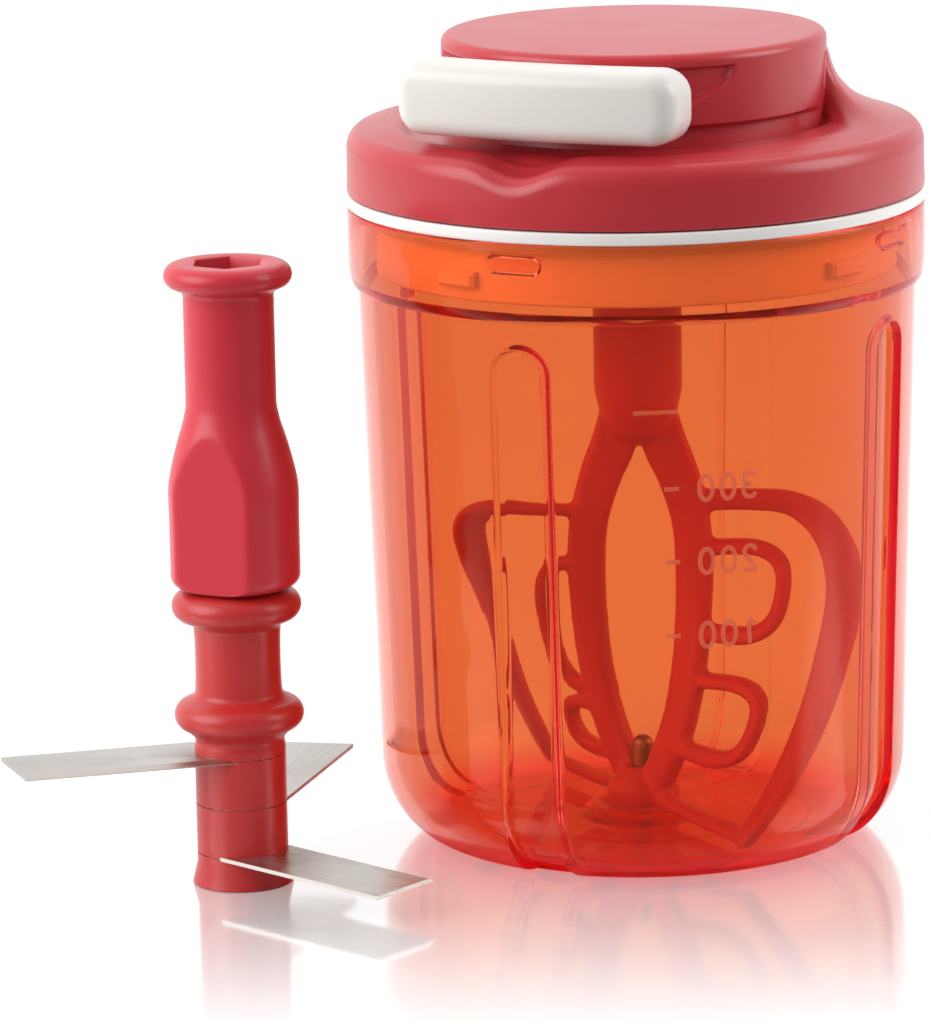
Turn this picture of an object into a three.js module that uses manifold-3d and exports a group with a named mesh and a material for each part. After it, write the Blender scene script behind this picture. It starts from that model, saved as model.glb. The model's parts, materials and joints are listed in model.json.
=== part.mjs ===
// A hand-pulled food chopper: a clear bowl with a centre pin, a twist-on lid that holds a cord
// reel and its return spring, a pull handle, a whisk in the bowl, and a three-blade insert that
// stands beside it. Millimetres, +Z up, the origin at the centre of the bowl's foot, front at -Y.
import * as THREE from "three";
import { mergeVertices } from "three/addons/utils/BufferGeometryUtils.js";
import Module from "manifold-3d";

const wasm = await Module();
wasm.setup();

// Driving dimensions shared by several pieces

const clearance = 0.3; // left between two pieces that touch
const overrun = 2; // how far a cut runs past the face that it opens
const embed = 0.4; // how far two joined forms reach into each other
const roundSteps = 32; // facets round the large turned pieces
const smallSteps = 20; // facets round the small turned pieces
const tinySteps = 12; // facets round pins, screws and small holes
const pullAzimuth = -24.5; // direction of the pull, degrees from the front, to the right positive

const bowlSize = {
  height: 116.4,
  wallRadius: 47.7, // outside, where the side meets the bottom corner
  neckRadius: 50.2, // outside, just under the collar
  cornerWidth: 13,
  cornerHeight: 16,
  wall: 2.4,
  floor: 2.8,
  footRingWidth: 4,
  footPadRadius: 20,
  footRecess: 0.8,
  collarRadius: 51.9,
  collarHeight: 13.8, // from the rim down to the collar's lower edge
  collarRound: 4.4,
  collarStep: 0.9,
  collarWall: 2.5,
  ledgeRise: 1.6,
  rimRound: 0.6,
  pedestalRadius: 9,
  pedestalSpread: 5,
  pedestalRise: 1.8,
};
const flute = {
  count: 4,
  azimuth: 65.5,
  width: 11.2,
  depth: 1.6,
  belowCollar: 5.4, // from the collar's lower edge down to the top of the arch
  ribWall: 1.2,
  ribDepth: 1.5,
  footInset: 0.8,
};
const lug = {
  count: 4,
  azimuth: 65.5,
  halfAngle: 6,
  reach: 1.7,
  belowRim: 5.4,
  height: 2.8,
};
const pin = { radius: 1.9, seat: 1.9, top: 17.4 };

const plate = {
  radius: 52,
  thickness: 2.2,
  edgeRound: 0.4,
  skirtRadius: 46.9,
  skirtWall: 2,
  skirtDrop: 10.2,
  bossRadius: 15.4,
  bossWall: 2.4,
  bossDrop: 11.6,
  webRise: 0.7,
  upstandRadius: 48.8,
  upstandWall: 1.8,
  upstandRise: 3.5,
  tubeRadius: 10,
  tubeRise: 7.2,
};
const tab = { count: 4, turn: 15, halfAngle: 5, reach: 1.7, bottomRise: 1, height: 2.8 };
const seal = { drop: 2, bead: 0.25 };

// Every rise is measured up from the bowl's rim.
const cover = {
  wall: 2.6,
  skirtRise: 10.8,
  shoulderRadius: 49.6,
  shoulderRise: 14.2,
  hubRadius: 34.5,
  hubRise: 30.8,
  hubRound: 1.6,
  crown: 0.5,
  ledgeRise: 15.4,
  pocketHalfAngle: 99,
  pocketEnd: 9,
  channelWidth: 5,
  channelDepth: 1,
  undercut: 1.3,
  undercutRise: 17.9,
  seatDepth: 1.2,
  seatHalfWidth: 28.4,
  seatBottomRise: 18.4,
  seatTopRise: 28.4,
  bossRadius: 8,
  bossDrop: 4.7,
  postRadius: 3.2,
};
const scoop = {
  halfWidth: 23,
  depth: 2.3,
  fingerHalfWidth: 10,
  fingerDepth: 2.1,
  inner: 37.5,
  outer: 49,
};
const eyelet = { radius: 2.6, bore: 1.4, flangeRadius: 4.2, flangeThickness: 0.8, rise: 24 };

const handle = {
  length: 53.4,
  height: 13.1,
  thickness: 11,
  rise: 16.8,
  back: 35.2, // from the lid's axis to the middle of the back face
  frontCurve: 130,
  edge: 3,
  endRound: 4,
  cordHole: 1.5,
  cordHoleDepth: 7,
};

const bush = { bore: 5.9, wall: 1.4, flangeWidth: 2.3, flangeThickness: 0.8 };
const socketCorner = 6.6; // centre to corner of the six-sided socket
const spindle = {
  hexCorner: 5.7,
  hexDrop: 9.2,
  ratchetRadius: 9.4,
  toothDepth: 1.8,
  toothLean: 4, // degrees from a tooth's tip to its root on the steep side
  toothCount: 8,
  ratchetHeight: 3.8,
  topRadius: 3,
  topRise: 10.3,
};
const reel = {
  flangeRadius: 28.6,
  flangeThickness: 1.3,
  grooveHeight: 4.1,
  coreRadius: 22,
  coreWall: 2.4,
  web: 1.8,
  skirtRadius: 14.4,
  skirtWall: 2,
  skirtDrop: 3.6,
  height: 11.8,
};
const pawl = { pivotRadius: 1.1, pivotAt: 10.95, heelAngle: 6, length: 6.6, tipRadius: 8.1, toeShare: 0.7 };
const arbor = { radius: 5, bore: 3.4 };
const spring = { height: 5.6, strip: 0.5, turns: 6 };
const springLid = { thickness: 1, drop: 0.8 };
const screw = { at: 41, radius: 1, headRadius: 2.7, headHeight: 0.9, length: 9, count: 3, azimuth: 158 };

const insert = {
  headroom: 0.5, // between the top of an insert and the lid's web
  shaftRadius: 8,
  flangeRadius: 11.3,
  flangeBead: 2.2,
  beadStart: -80, // degrees, where the bead leaves the shaft
  socketDepth: 11,
  boreDepth: 19,
};
const whiskSize = {
  shaftBottom: 75,
  thickness: 4.2,
  wingThickness: 3.5,
  footRadius: 6.6,
  footTop: 11.6,
  reachRight: 41,
  reachLeft: 36,
  armHeight: 63.2,
  armWidth: 6.6,
  cornerShare: 0.45, // of a bar's smaller half width, cut off its corners
  twistLevel: 60, // the frame is flat above this height
  twistAtFoot: 66, // degrees turned at the bowl's foot
};
const cutter = { x: -71.6, y: -34.4 }; // where the blade insert stands
const grip = {
  bottom: 54,
  widest: 66,
  radius: 11.5,
  shoulder: 86,
  face: 9,
  faceTop: 84,
  faceHalfWidth: 10.6,
  edgeRound: 2.2,
};
const neck = {
  radius: 7.7,
  ringRadius: 11.5,
  bead: 2.7,
  upperRing: 50.6,
  lowerRing: 30.8,
  taper: 3.3,
  fillet: 1.6,
};
const blade = {
  width: 15.5,
  reach: 42,
  thickness: 0.7,
  bevel: 1.6,
  edge: 0.1,
  skew: 1.9, // how much shorter one side is than the other at the end
  hubRadius: 7.9,
  upperLevel: 23.4,
  middleLevel: 14.4,
  lowerLevel: 5.4,
  upperAzimuth: -74,
  middleAzimuth: 165,
  lowerAzimuth: 47,
};
const core = { radius: 4, bore: 2.6, top: 62 };
const foot = { flare: 0.9, flareHeight: 4 };

// Heights and radii that follow from the driving dimensions

const rim = bowlSize.height;
const collarBottom = rim - bowlSize.collarHeight;
const collarBore = bowlSize.collarRadius - bowlSize.collarWall;
const pedestalTop = bowlSize.floor + bowlSize.pedestalRise;
const footMiddle = bowlSize.wallRadius - bowlSize.cornerWidth;
const fluteInner = footMiddle + flute.footInset;
const fluteTop = collarBottom - flute.belowCollar;
const plateBottom = rim + clearance;
const plateTop = plateBottom + plate.thickness;
const coverBottom = plateTop + clearance;
const whiskBottom = pedestalTop + clearance;
const webBottom = plateBottom + plate.webRise;
const insertHeight = webBottom - insert.headroom - whiskBottom;
const whiskTop = whiskBottom + insertHeight;
const tubeTop = plateTop + plate.tubeRise;
const bushTop = tubeTop + clearance + bush.flangeThickness;
const ratchetBottom = bushTop + clearance;
const ratchetTop = ratchetBottom + spindle.ratchetHeight;
const reelBottom = ratchetTop + clearance;
const reelTop = reelBottom + reel.height;
const skirtTop = rim + cover.skirtRise;
const shoulderTop = rim + cover.shoulderRise;
const ledge = rim + cover.ledgeRise;
const hubTop = rim + cover.hubRise;
const hubCeiling = hubTop - cover.wall;
const cordHeight = rim + eyelet.rise;

// Finishes

function finish(color, roughness, metalness = 0, opacity = 1) {
  return new THREE.MeshStandardMaterial({
    color,
    roughness,
    metalness,
    opacity,
    transparent: opacity < 1,
  });
}
const clearOrange = finish("#e8622f", 0.12, 0, 0.55);
const redGloss = finish("#c4343c", 0.32);
const redSatin = finish("#c5303a", 0.42);
const white = finish("#eceae4", 0.35);
const silicone = finish("#d8d6d0", 0.55);
const steel = finish("#b9bcbd", 0.28, 1);
const nylon = finish("#e2dfd6", 0.5);
const springSteel = finish("#7d8084", 0.35, 1);

// Geometry helpers

const radians = THREE.MathUtils.degToRad;

function toSolid(geometry) {
  const bare = geometry.clone();
  bare.deleteAttribute("normal");
  bare.deleteAttribute("uv");
  const merged = mergeVertices(bare, clearance / 1000);
  const corners = merged.index.array;
  const kept = [];
  for (let i = 0; i < corners.length; i += 3) {
    const [a, b, c] = corners.subarray(i, i + 3);
    if (a !== b && b !== c && c !== a) kept.push(a, b, c);
  }
  const build = (triVerts) =>
    new wasm.Manifold(
      new wasm.Mesh({
        numProp: 3,
        vertProperties: merged.attributes.position.array,
        triVerts: new Uint32Array(triVerts),
      }),
    );
  const solid = build(kept);
  // A profile drawn the other way round gives faces that look inwards.
  return solid.volume() > 0 ? solid : build(kept.reverse());
}

function toMesh(name, solid, material) {
  const data = solid.getMesh();
  const geometry = new THREE.BufferGeometry();
  geometry.setAttribute("position", new THREE.BufferAttribute(data.vertProperties, 3));
  geometry.setIndex(new THREE.BufferAttribute(data.triVerts, 1));
  geometry.computeVertexNormals();
  const mesh = new THREE.Mesh(geometry, material);
  mesh.name = name;
  return mesh;
}

const join = (first, ...others) => others.reduce((sum, next) => sum.add(next), first);
const cut = (first, ...others) => others.reduce((sum, next) => sum.subtract(next), first);

// Points [r, z] on part of an ellipse, the angles in degrees from the r direction.
function arc(r, z, width, height, from, to, steps = 5) {
  const angles = Array.from({ length: steps + 1 }, (_, i) => radians(from + ((to - from) * i) / steps));
  return angles.map((angle) => [r + width * Math.cos(angle), z + height * Math.sin(angle)]);
}

// A solid turned about Z from [r, z] points that start and end on the axis.
function turned(points, steps = smallSteps) {
  const outline = points.map(([r, z]) => new THREE.Vector2(r, z));
  return toSolid(new THREE.LatheGeometry(outline, steps).rotateX(Math.PI / 2));
}
const turnedRing = (points, steps) => turned([...points, points[0]], steps);

function tube(inner, outer, bottom, top, steps) {
  return turnedRing([[inner, bottom], [outer, bottom], [outer, top], [inner, top]], steps);
}
function cylinder(radius, bottom, top, steps) {
  return turned([[0, bottom], [radius, bottom], [radius, top], [0, top]], steps);
}

// A plan outline pulled up from one height to another.
function prism(outline, bottom, top, options = {}) {
  const shape = outline instanceof THREE.Shape ? outline : new THREE.Shape(outline);
  const geometry = new THREE.ExtrudeGeometry(shape, {
    depth: top - bottom,
    bevelEnabled: false,
    curveSegments: 8,
    ...options,
  });
  return toSolid(geometry.translate(0, 0, bottom));
}

// A plan point at a radius and an azimuth from the front.
function polar(radius, azimuth) {
  const angle = radians(azimuth);
  return new THREE.Vector2(radius * Math.sin(angle), -radius * Math.cos(angle));
}
function sector(inner, outer, middle, halfAngle, bottom, top, steps = 6) {
  const along = (radius, sign) =>
    Array.from({ length: steps + 1 }, (_, i) =>
      polar(radius, middle + sign * halfAngle * ((2 * i) / steps - 1)),
    );
  return prism([...along(outer, 1), ...along(inner, -1)], bottom, top);
}

// Turns a solid that was made facing the front, with its middle on -Y, to an azimuth.
const facing = (solid, azimuth) => solid.rotate([0, 0, azimuth]);

// An upright outline in [sideways, z], standing across -Y and pulled outwards from the axis.
function standing(outline, inner, outer) {
  const geometry = new THREE.ExtrudeGeometry(new THREE.Shape(outline), {
    depth: outer - inner,
    bevelEnabled: false,
  });
  return toSolid(geometry.rotateX(Math.PI / 2).translate(0, -inner, 0));
}

const evenly = (count, first) => Array.from({ length: count }, (_, i) => first + (360 / count) * i);

// Bowl

function bowlSide(inset) {
  const { wallRadius, neckRadius, cornerWidth, cornerHeight } = bowlSize;
  const middle = wallRadius - cornerWidth;
  const corner = arc(middle, cornerHeight, cornerWidth - inset, cornerHeight - inset, -90, 0);
  return [...corner, [neckRadius - inset, collarBottom]];
}

function archedSlot(halfWidth, top) {
  const arch = arc(0, top - halfWidth, halfWidth, halfWidth, 0, 180, 6);
  const points = [...arch, [-halfWidth, -overrun], [halfWidth, -overrun]];
  return points.map(([x, z]) => new THREE.Vector2(x, z));
}

// The space in the bowl, kept away from its walls and floor by an inset.
function bowlSpace(inset) {
  const { floor, wall, ledgeRise } = bowlSize;
  const side = bowlSide(wall + inset).map(([r, z]) => [r, Math.max(z, floor + inset)]);
  return turned(
    [
      [0, floor + inset],
      ...side,
      [collarBore - inset, collarBottom + ledgeRise],
      [collarBore - inset, rim + overrun],
      [0, rim + overrun],
    ],
    roundSteps,
  );
}

function makeBowl() {
  const { collarRadius, collarRound, collarStep, rimRound } = bowlSize;
  const { neckRadius, floor, footRecess, footRingWidth, footPadRadius } = bowlSize;
  const stepWidth = collarRadius - neckRadius - collarStep;
  const footSlope = footRecess / 2;
  const outside = turned(
    [
      [0, 0],
      [footPadRadius, 0],
      [footPadRadius + footSlope, footRecess],
      [footMiddle - footRingWidth - footSlope, footRecess],
      [footMiddle - footRingWidth, 0],
      ...bowlSide(0),
      ...arc(collarRadius - stepWidth, collarBottom + collarRound, stepWidth, collarRound, -90, 0, 3),
      [collarRadius, rim - rimRound],
      [collarRadius - rimRound, rim],
      [0, rim],
    ],
    roundSteps,
  );
  const { pedestalRadius, pedestalSpread, pedestalRise } = bowlSize;
  const spread = pedestalRadius + pedestalSpread;
  const pedestal = turned([
    [0, floor - embed],
    [spread, floor - embed],
    [spread, floor],
    ...arc(spread, pedestalTop, pedestalSpread, pedestalRise, -90, -180, 4),
    [0, pedestalTop],
  ]);
  const beyond = collarRadius + overrun;
  const behindGroove = turned(
    [[0, -2 * overrun], [footMiddle, -2 * overrun], ...bowlSide(flute.depth), [0, collarBottom]],
    roundSteps,
  );
  const groove = cut(standing(archedSlot(flute.width / 2, fluteTop), fluteInner, beyond), behindGroove);
  const ribSlot = archedSlot(flute.width / 2 + flute.ribWall, fluteTop + flute.ribWall);
  const rib = cut(standing(ribSlot, fluteInner, beyond), bowlSpace(flute.ribDepth));
  const turns = evenly(flute.count, flute.azimuth);
  const hollow = cut(bowlSpace(0), ...turns.map((azimuth) => facing(rib, azimuth)), pedestal);
  const lugBottom = rim - lug.belowRim;
  const lugTop = lugBottom + lug.height;
  const lugs = evenly(lug.count, lug.azimuth).map((azimuth) =>
    sector(collarBore - lug.reach, collarBore + embed, azimuth, lug.halfAngle, lugBottom, lugTop),
  );
  const grooves = turns.map((azimuth) => facing(groove, azimuth));
  const pinHole = cylinder(pin.radius + clearance, pin.seat, pedestalTop + overrun, tinySteps);
  return join(cut(outside, hollow, ...grooves, pinHole), ...lugs);
}

function makePivotPin() {
  const { radius, seat, top } = pin;
  const dome = arc(0, top - radius, radius, radius, 0, 90, 4);
  return turned([[0, seat + clearance], [radius, seat + clearance], ...dome], tinySteps);
}

// Lid base, with the white edge that shows, the plug and its tabs

function makeLidBase() {
  const { radius, edgeRound, skirtRadius, skirtWall, skirtDrop, bossRadius, bossWall } = plate;
  const { bossDrop, upstandRadius, upstandWall, upstandRise, tubeRadius } = plate;
  const hole = bush.bore + bush.wall + clearance;
  const skirtBottom = plateBottom - skirtDrop;
  const bossBottom = plateBottom - bossDrop;
  const body = turnedRing(
    [
      [hole, webBottom],
      [bossRadius - bossWall, webBottom],
      [bossRadius - bossWall, bossBottom],
      [bossRadius, bossBottom],
      [bossRadius, plateBottom],
      [skirtRadius - skirtWall, plateBottom],
      [skirtRadius - skirtWall, skirtBottom],
      [skirtRadius, skirtBottom],
      [skirtRadius, plateBottom],
      [radius - edgeRound, plateBottom],
      [radius, plateBottom + edgeRound],
      [radius, plateTop - edgeRound],
      [radius - edgeRound, plateTop],
      [upstandRadius, plateTop],
      [upstandRadius, plateTop + upstandRise],
      [upstandRadius - upstandWall, plateTop + upstandRise],
      [upstandRadius - upstandWall, plateTop],
      [tubeRadius, plateTop],
      [tubeRadius, tubeTop],
      [hole, tubeTop],
    ],
    roundSteps,
  );
  const tabBottom = skirtBottom + tab.bottomRise;
  const tabTop = tabBottom + tab.height;
  const tabs = evenly(tab.count, lug.azimuth - tab.turn).map((azimuth) =>
    sector(skirtRadius - embed, skirtRadius + tab.reach, azimuth, tab.halfAngle, tabBottom, tabTop),
  );
  const headTop = plateBottom + screw.headHeight + clearance;
  const holes = screwPlaces().map(({ x, y }) =>
    join(
      cylinder(screw.radius + clearance, plateBottom - overrun, plateTop + overrun, tinySteps),
      cylinder(screw.headRadius + clearance, plateBottom - overrun, headTop, tinySteps),
    ).translate([x, y, 0]),
  );
  return cut(join(body, ...tabs), ...holes);
}

const screwPlaces = () => evenly(screw.count, screw.azimuth).map((azimuth) => polar(screw.at, azimuth));

function makeScrew({ x, y }) {
  const bottom = plateBottom + clearance / 3;
  const head = cylinder(screw.headRadius, bottom, bottom + screw.headHeight, tinySteps);
  const shank = cylinder(screw.radius, bottom + screw.headHeight / 2, bottom + screw.length, tinySteps);
  return join(head, shank).translate([x, y, 0]);
}

function makeSeal() {
  const inner = plate.skirtRadius + clearance;
  const outer = collarBore - clearance;
  const bottom = rim - seal.drop;
  return turnedRing(
    [
      [inner, bottom],
      [outer - seal.bead, bottom],
      [outer, bottom + seal.bead],
      [outer, rim - seal.bead],
      [outer - seal.bead, rim],
      [inner, rim],
    ],
    roundSteps,
  );
}

// Lid cover: a bell with a round hub. In front of the hub a pocket for the handle is let into its
// flare, down to a ledge, and a scoop for the fingers runs out from under the handle.

function coverSide() {
  const { shoulderRadius, hubRadius, hubRound, crown } = cover;
  const edge = plate.radius - clearance / 3;
  const skirt = edge - clearance / 3;
  const rise = hubTop - hubRound - shoulderTop;
  const spread = shoulderRadius - hubRadius;
  // The flare from the rounded shoulder to the hub, as shares of its width and height.
  const flareShares = [
    [0.8, 0.07],
    [0.58, 0.16],
    [0.36, 0.28],
    [0.19, 0.44],
    [0.08, 0.64],
    [0.02, 0.84],
  ];
  const crownHeight = (r) => hubTop + crown * (1 - (r / hubRadius) ** 2);
  return [
    [edge, coverBottom],
    ...arc(shoulderRadius, skirtTop, skirt - shoulderRadius, shoulderTop - skirtTop, 0, 90, 4),
    ...flareShares.map(([w, h]) => [hubRadius + spread * w, shoulderTop + rise * h]),
    ...arc(hubRadius - hubRound, hubTop - hubRound, hubRound, hubRound, 0, 90, 3),
    [hubRadius / 2, crownHeight(hubRadius / 2)],
  ];
}

// The height of the cover's top face where the plain bell would be at [r, z].
function coverHeight(r, z, azimuth) {
  const { hubRadius, channelWidth, channelDepth, pocketHalfAngle, pocketEnd } = cover;
  if (r <= hubRadius || z < skirtTop) return z;
  const { smoothstep } = THREE.MathUtils;
  const away = Math.abs(THREE.MathUtils.euclideanModulo(azimuth - pullAzimuth + 180, 360) - 180);
  const open = 1 - smoothstep(away, pocketHalfAngle, pocketHalfAngle + pocketEnd);
  const channel = channelDepth * (1 - smoothstep(r, hubRadius, hubRadius + channelWidth));
  const across = r * Math.sin(radians(azimuth - pullAzimuth));
  const wave = (half) => (Math.abs(across) < half ? (1 + Math.cos((Math.PI * across) / half)) / 2 : 0);
  const dip = scoop.depth * wave(scoop.halfWidth) + scoop.fingerDepth * wave(scoop.fingerHalfWidth);
  const floor = ledge - channel - dip * smoothstep(r, scoop.inner, scoop.outer);
  return z + (Math.min(z, floor) - z) * open;
}

// Azimuths from the pull, in degrees, close together at the scoop and at the pocket's ends.
const outerTurns = [3, 6, 10, 14.5, 19, 24, 33, 45, 58, 72, 86, 99, 103.5, 108, 120, 135, 150, 165];
const innerTurns = [7, 14.5, 24, 36, 48, 60, 73, 86, 98, 108, 120, 132, 144, 156, 168];

// The cover's outside, or with a wall's thickness its inside, as rows of points round the axis.
function coverBell(inset) {
  const half = inset ? innerTurns : outerTurns;
  const turns = [...half.map((a) => -a).reverse(), 0, ...half, 180].map((a) => a + pullAzimuth);
  const rows = coverSide().filter((_, row) => !inset || row % 2 === 0);
  const count = turns.length;
  const points = rows.flatMap(([r, z], row) =>
    turns.flatMap((azimuth) => {
      const { x, y } = polar(r - inset, azimuth);
      const lowest = inset ? z - overrun : z;
      return [x, y, row ? coverHeight(r, z, azimuth) - inset : lowest];
    }),
  );
  const faces = [];
  for (let i = 0; i < rows.length - 1; i++)
    for (let j = 0; j < count; j++) {
      const [a, b] = [i * count + j, i * count + ((j + 1) % count)];
      faces.push(a, b, b + count, a, b + count, a + count);
    }
  const top = points.length / 3;
  const last = (rows.length - 1) * count;
  points.push(0, 0, hubTop + (inset ? 0 : cover.crown) - inset, 0, 0, points[2]);
  for (let j = 0; j < count; j++) {
    const next = (j + 1) % count;
    faces.push(last + j, last + next, top, next, j, top + 1);
  }
  const geometry = new THREE.BufferGeometry();
  geometry.setAttribute("position", new THREE.Float32BufferAttribute(points, 3));
  geometry.setIndex(faces);
  return toSolid(geometry);
}

function makeLidCover() {
  const { wall, hubRadius, seatDepth, seatBottomRise, undercut, undercutRise } = cover;
  const { channelDepth, pocketHalfAngle, postRadius, bossRadius, bossDrop } = cover;
  const posts = screwPlaces().map(({ x, y }) =>
    cylinder(postRadius, coverBottom, hubTop, tinySteps).translate([x, y, 0]),
  );
  const shell = cut(coverBell(0), cut(coverBell(wall), ...posts));
  const underside = ledge - channelDepth;
  const grooveTop = rim + undercutRise;
  const grooveInner = hubRadius - undercut;
  const groove = sector(grooveInner, hubRadius + embed, 0, pocketHalfAngle, underside, grooveTop, 14);
  const seat = cut(
    standing(seatOutline(), 0, hubRadius + overrun),
    cylinder(hubRadius - seatDepth, rim + seatBottomRise - overrun, hubTop, roundSteps),
  );
  const holeStart = hubRadius - wall - overrun;
  const eyeletHole = standing(circle(eyelet.radius + clearance, cordHeight), holeStart, hubRadius);
  const opened = cut(shell, ...[groove, seat, eyeletHole].map((piece) => facing(piece, pullAzimuth)));
  const boss = tube(arbor.radius + clearance, bossRadius, hubCeiling - bossDrop, hubCeiling + embed);
  const holeTop = plateBottom + screw.length + clearance;
  const screwHoles = screwPlaces().map(({ x, y }) =>
    cylinder(screw.radius + clearance, coverBottom - overrun, holeTop, tinySteps).translate([x, y, 0]),
  );
  return cut(join(opened, boss), ...screwHoles);
}

function circle(radius, height, steps = smallSteps) {
  return arc(0, height, radius, radius, 0, 360, steps)
    .slice(0, -1)
    .map(([x, z]) => new THREE.Vector2(x, z));
}

// The shallow seat behind the handle: square at the top, stepped in towards the bottom.
function seatOutline() {
  const { seatHalfWidth, seatBottomRise, seatTopRise } = cover;
  const tall = seatTopRise - seatBottomRise;
  const edgeShares = [
    [1, 1],
    [1, 0.58],
    [0.985, 0.46],
    [0.95, 0.37],
    [0.9, 0.31],
    [0.86, 0.24],
    [0.84, 0],
  ];
  const point = (x, rise) => new THREE.Vector2(x, rim + rise);
  const side = (sign) =>
    edgeShares.map(([w, h]) => point(sign * seatHalfWidth * w, seatBottomRise + tall * h));
  return [...side(1), ...side(-1).reverse()];
}

// Pull handle: a gently bowed bar with rounded edges and a hole for the cord's knot

function makeHandle() {
  const { length, height, thickness, back, frontCurve, edge, cordHole, cordHoleDepth } = handle;
  const bottom = rim + handle.rise;
  const middle = -(back + thickness - frontCurve);
  const half = length / 2 - edge;
  const reach = Math.asin(half / frontCurve);
  const steps = 6;
  const bow = (radius, sign) =>
    Array.from({ length: steps + 1 }, (_, i) => {
      const angle = sign * reach * ((2 * i) / steps - 1);
      return new THREE.Vector2(radius * Math.sin(angle), middle - radius * Math.cos(angle));
    });
  const outline = [...bow(frontCurve - edge, 1), ...bow(frontCurve - thickness + edge, -1)];
  const rounding = { bevelEnabled: true, bevelThickness: edge, bevelSize: edge, bevelSegments: 2 };
  const body = prism(outline, bottom + edge, bottom + height - edge, rounding);
  const front = standing(handleFront(bottom), back - overrun, back + thickness + overrun);
  const hole = standing(circle(cordHole, cordHeight, tinySteps), back - overrun, back + cordHoleDepth);
  return facing(cut(body.intersect(front), hole), pullAzimuth);
}

// The handle's front view: a rectangle with round corners.
function handleFront(bottom) {
  const { length, height, endRound } = handle;
  const x = length / 2 - endRound;
  const top = bottom + height;
  return [
    ...arc(x, bottom + endRound, endRound, endRound, -90, 0, 5),
    ...arc(x, top - endRound, endRound, endRound, 0, 90, 5),
    ...arc(-x, top - endRound, endRound, endRound, 90, 180, 5),
    ...arc(-x, bottom + endRound, endRound, endRound, 180, 270, 5),
  ].map(([across, z]) => new THREE.Vector2(across, z));
}

function makeEyelet() {
  const { radius, bore, flangeRadius, flangeThickness } = eyelet;
  const seat = cover.hubRadius - cover.seatDepth;
  const inner = cover.hubRadius - cover.wall;
  const face = seat + clearance;
  const sleeve = standing(circle(radius, cordHeight), inner, face + embed);
  const flange = standing(circle(flangeRadius, cordHeight), face, face + flangeThickness);
  const hole = standing(circle(bore, cordHeight, tinySteps), inner - overrun, face + 2 * overrun);
  return facing(cut(join(sleeve, flange), hole), pullAzimuth);
}

// Drive: bush, spindle with its ratchet, cord reel, pawls and return spring

function makeBush() {
  const { bore, wall, flangeWidth, flangeThickness } = bush;
  const shoulder = tubeTop + clearance;
  return turnedRing([
    [bore, webBottom],
    [bore + wall, webBottom],
    [bore + wall, shoulder],
    [bore + wall + flangeWidth, shoulder],
    [bore + wall + flangeWidth, shoulder + flangeThickness],
    [bore, shoulder + flangeThickness],
  ]);
}

const hexagon = (corner) => Array.from({ length: 6 }, (_, i) => polar(corner, 60 * i));

function makeSpindle() {
  const { hexCorner, hexDrop, topRadius, topRise } = spindle;
  const { ratchetRadius, toothDepth, toothLean, toothCount } = spindle;
  const hex = prism(hexagon(hexCorner), whiskTop - hexDrop, webBottom + embed);
  const journal = cylinder(bush.bore - clearance, webBottom, ratchetBottom + embed);
  const teeth = evenly(toothCount, 0).flatMap((azimuth) => [
    polar(ratchetRadius - toothDepth, azimuth + toothLean),
    polar(ratchetRadius, azimuth),
  ]);
  const ratchet = prism(teeth.reverse(), ratchetBottom, ratchetTop);
  const top = cylinder(topRadius, ratchetTop - embed, ratchetTop + topRise);
  return join(hex, journal, ratchet, top);
}

function makeReel() {
  const { flangeRadius, flangeThickness, grooveHeight, coreRadius, coreWall, web } = reel;
  const { skirtRadius, skirtWall, skirtDrop } = reel;
  const bore = spindle.topRadius + clearance;
  const upper = reelTop - flangeThickness;
  const lower = upper - grooveHeight;
  return turnedRing([
    [bore, reelBottom],
    [skirtRadius - skirtWall, reelBottom],
    [skirtRadius - skirtWall, reelBottom - skirtDrop],
    [skirtRadius, reelBottom - skirtDrop],
    [skirtRadius, reelBottom],
    [coreRadius, reelBottom],
    [coreRadius, lower - flangeThickness],
    [flangeRadius, lower - flangeThickness],
    [flangeRadius, lower],
    [coreRadius, lower],
    [coreRadius, upper],
    [flangeRadius, upper],
    [flangeRadius, reelTop],
    [coreRadius - coreWall, reelTop],
    [coreRadius - coreWall, reelBottom + web],
    [bore, reelBottom + web],
  ]);
}

// A pawl hangs in the reel's skirt and leans against the ratchet's teeth.
function makePawl(azimuth) {
  const { pivotRadius, pivotAt, heelAngle, length, tipRadius, toeShare } = pawl;
  const behind = THREE.MathUtils.radToDeg(length / pivotAt);
  const outline = [
    polar(pivotAt + pivotRadius, 0),
    polar(pivotAt, -heelAngle),
    polar(pivotAt - pivotRadius, -heelAngle / 2),
    polar(tipRadius + pivotRadius, behind * toeShare),
    polar(tipRadius + pivotRadius / 2, behind),
    polar(tipRadius + 2 * pivotRadius, behind),
  ];
  return facing(prism(outline, ratchetBottom + clearance, reelBottom - clearance), azimuth);
}

function makeArbor() {
  return tube(arbor.bore, arbor.radius, reelBottom + reel.web + clearance, hubCeiling - clearance);
}

// One flat strip wound as a spiral between the arbor and the reel's wall.
function makeSpring() {
  const { height, strip, turns } = spring;
  const inner = arbor.radius + clearance + strip / 2;
  const outer = reel.coreRadius - reel.coreWall - clearance - strip / 2;
  const steps = turns * 9;
  const side = (offset) =>
    Array.from({ length: steps + 1 }, (_, i) => {
      const share = i / steps;
      return polar(inner + (outer - inner) * share + offset, 360 * turns * share);
    });
  const bottom = reelBottom + reel.web + clearance;
  return prism([...side(strip / 2), ...side(-strip / 2).reverse()], bottom, bottom + height);
}

function makeSpringLid() {
  const top = reelTop - springLid.drop;
  const inner = cover.bossRadius + clearance;
  return tube(inner, reel.coreRadius - reel.coreWall - clearance, top - springLid.thickness, top);
}

// Drive end that the whisk and the blade insert share: a flange with a six-sided socket

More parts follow.
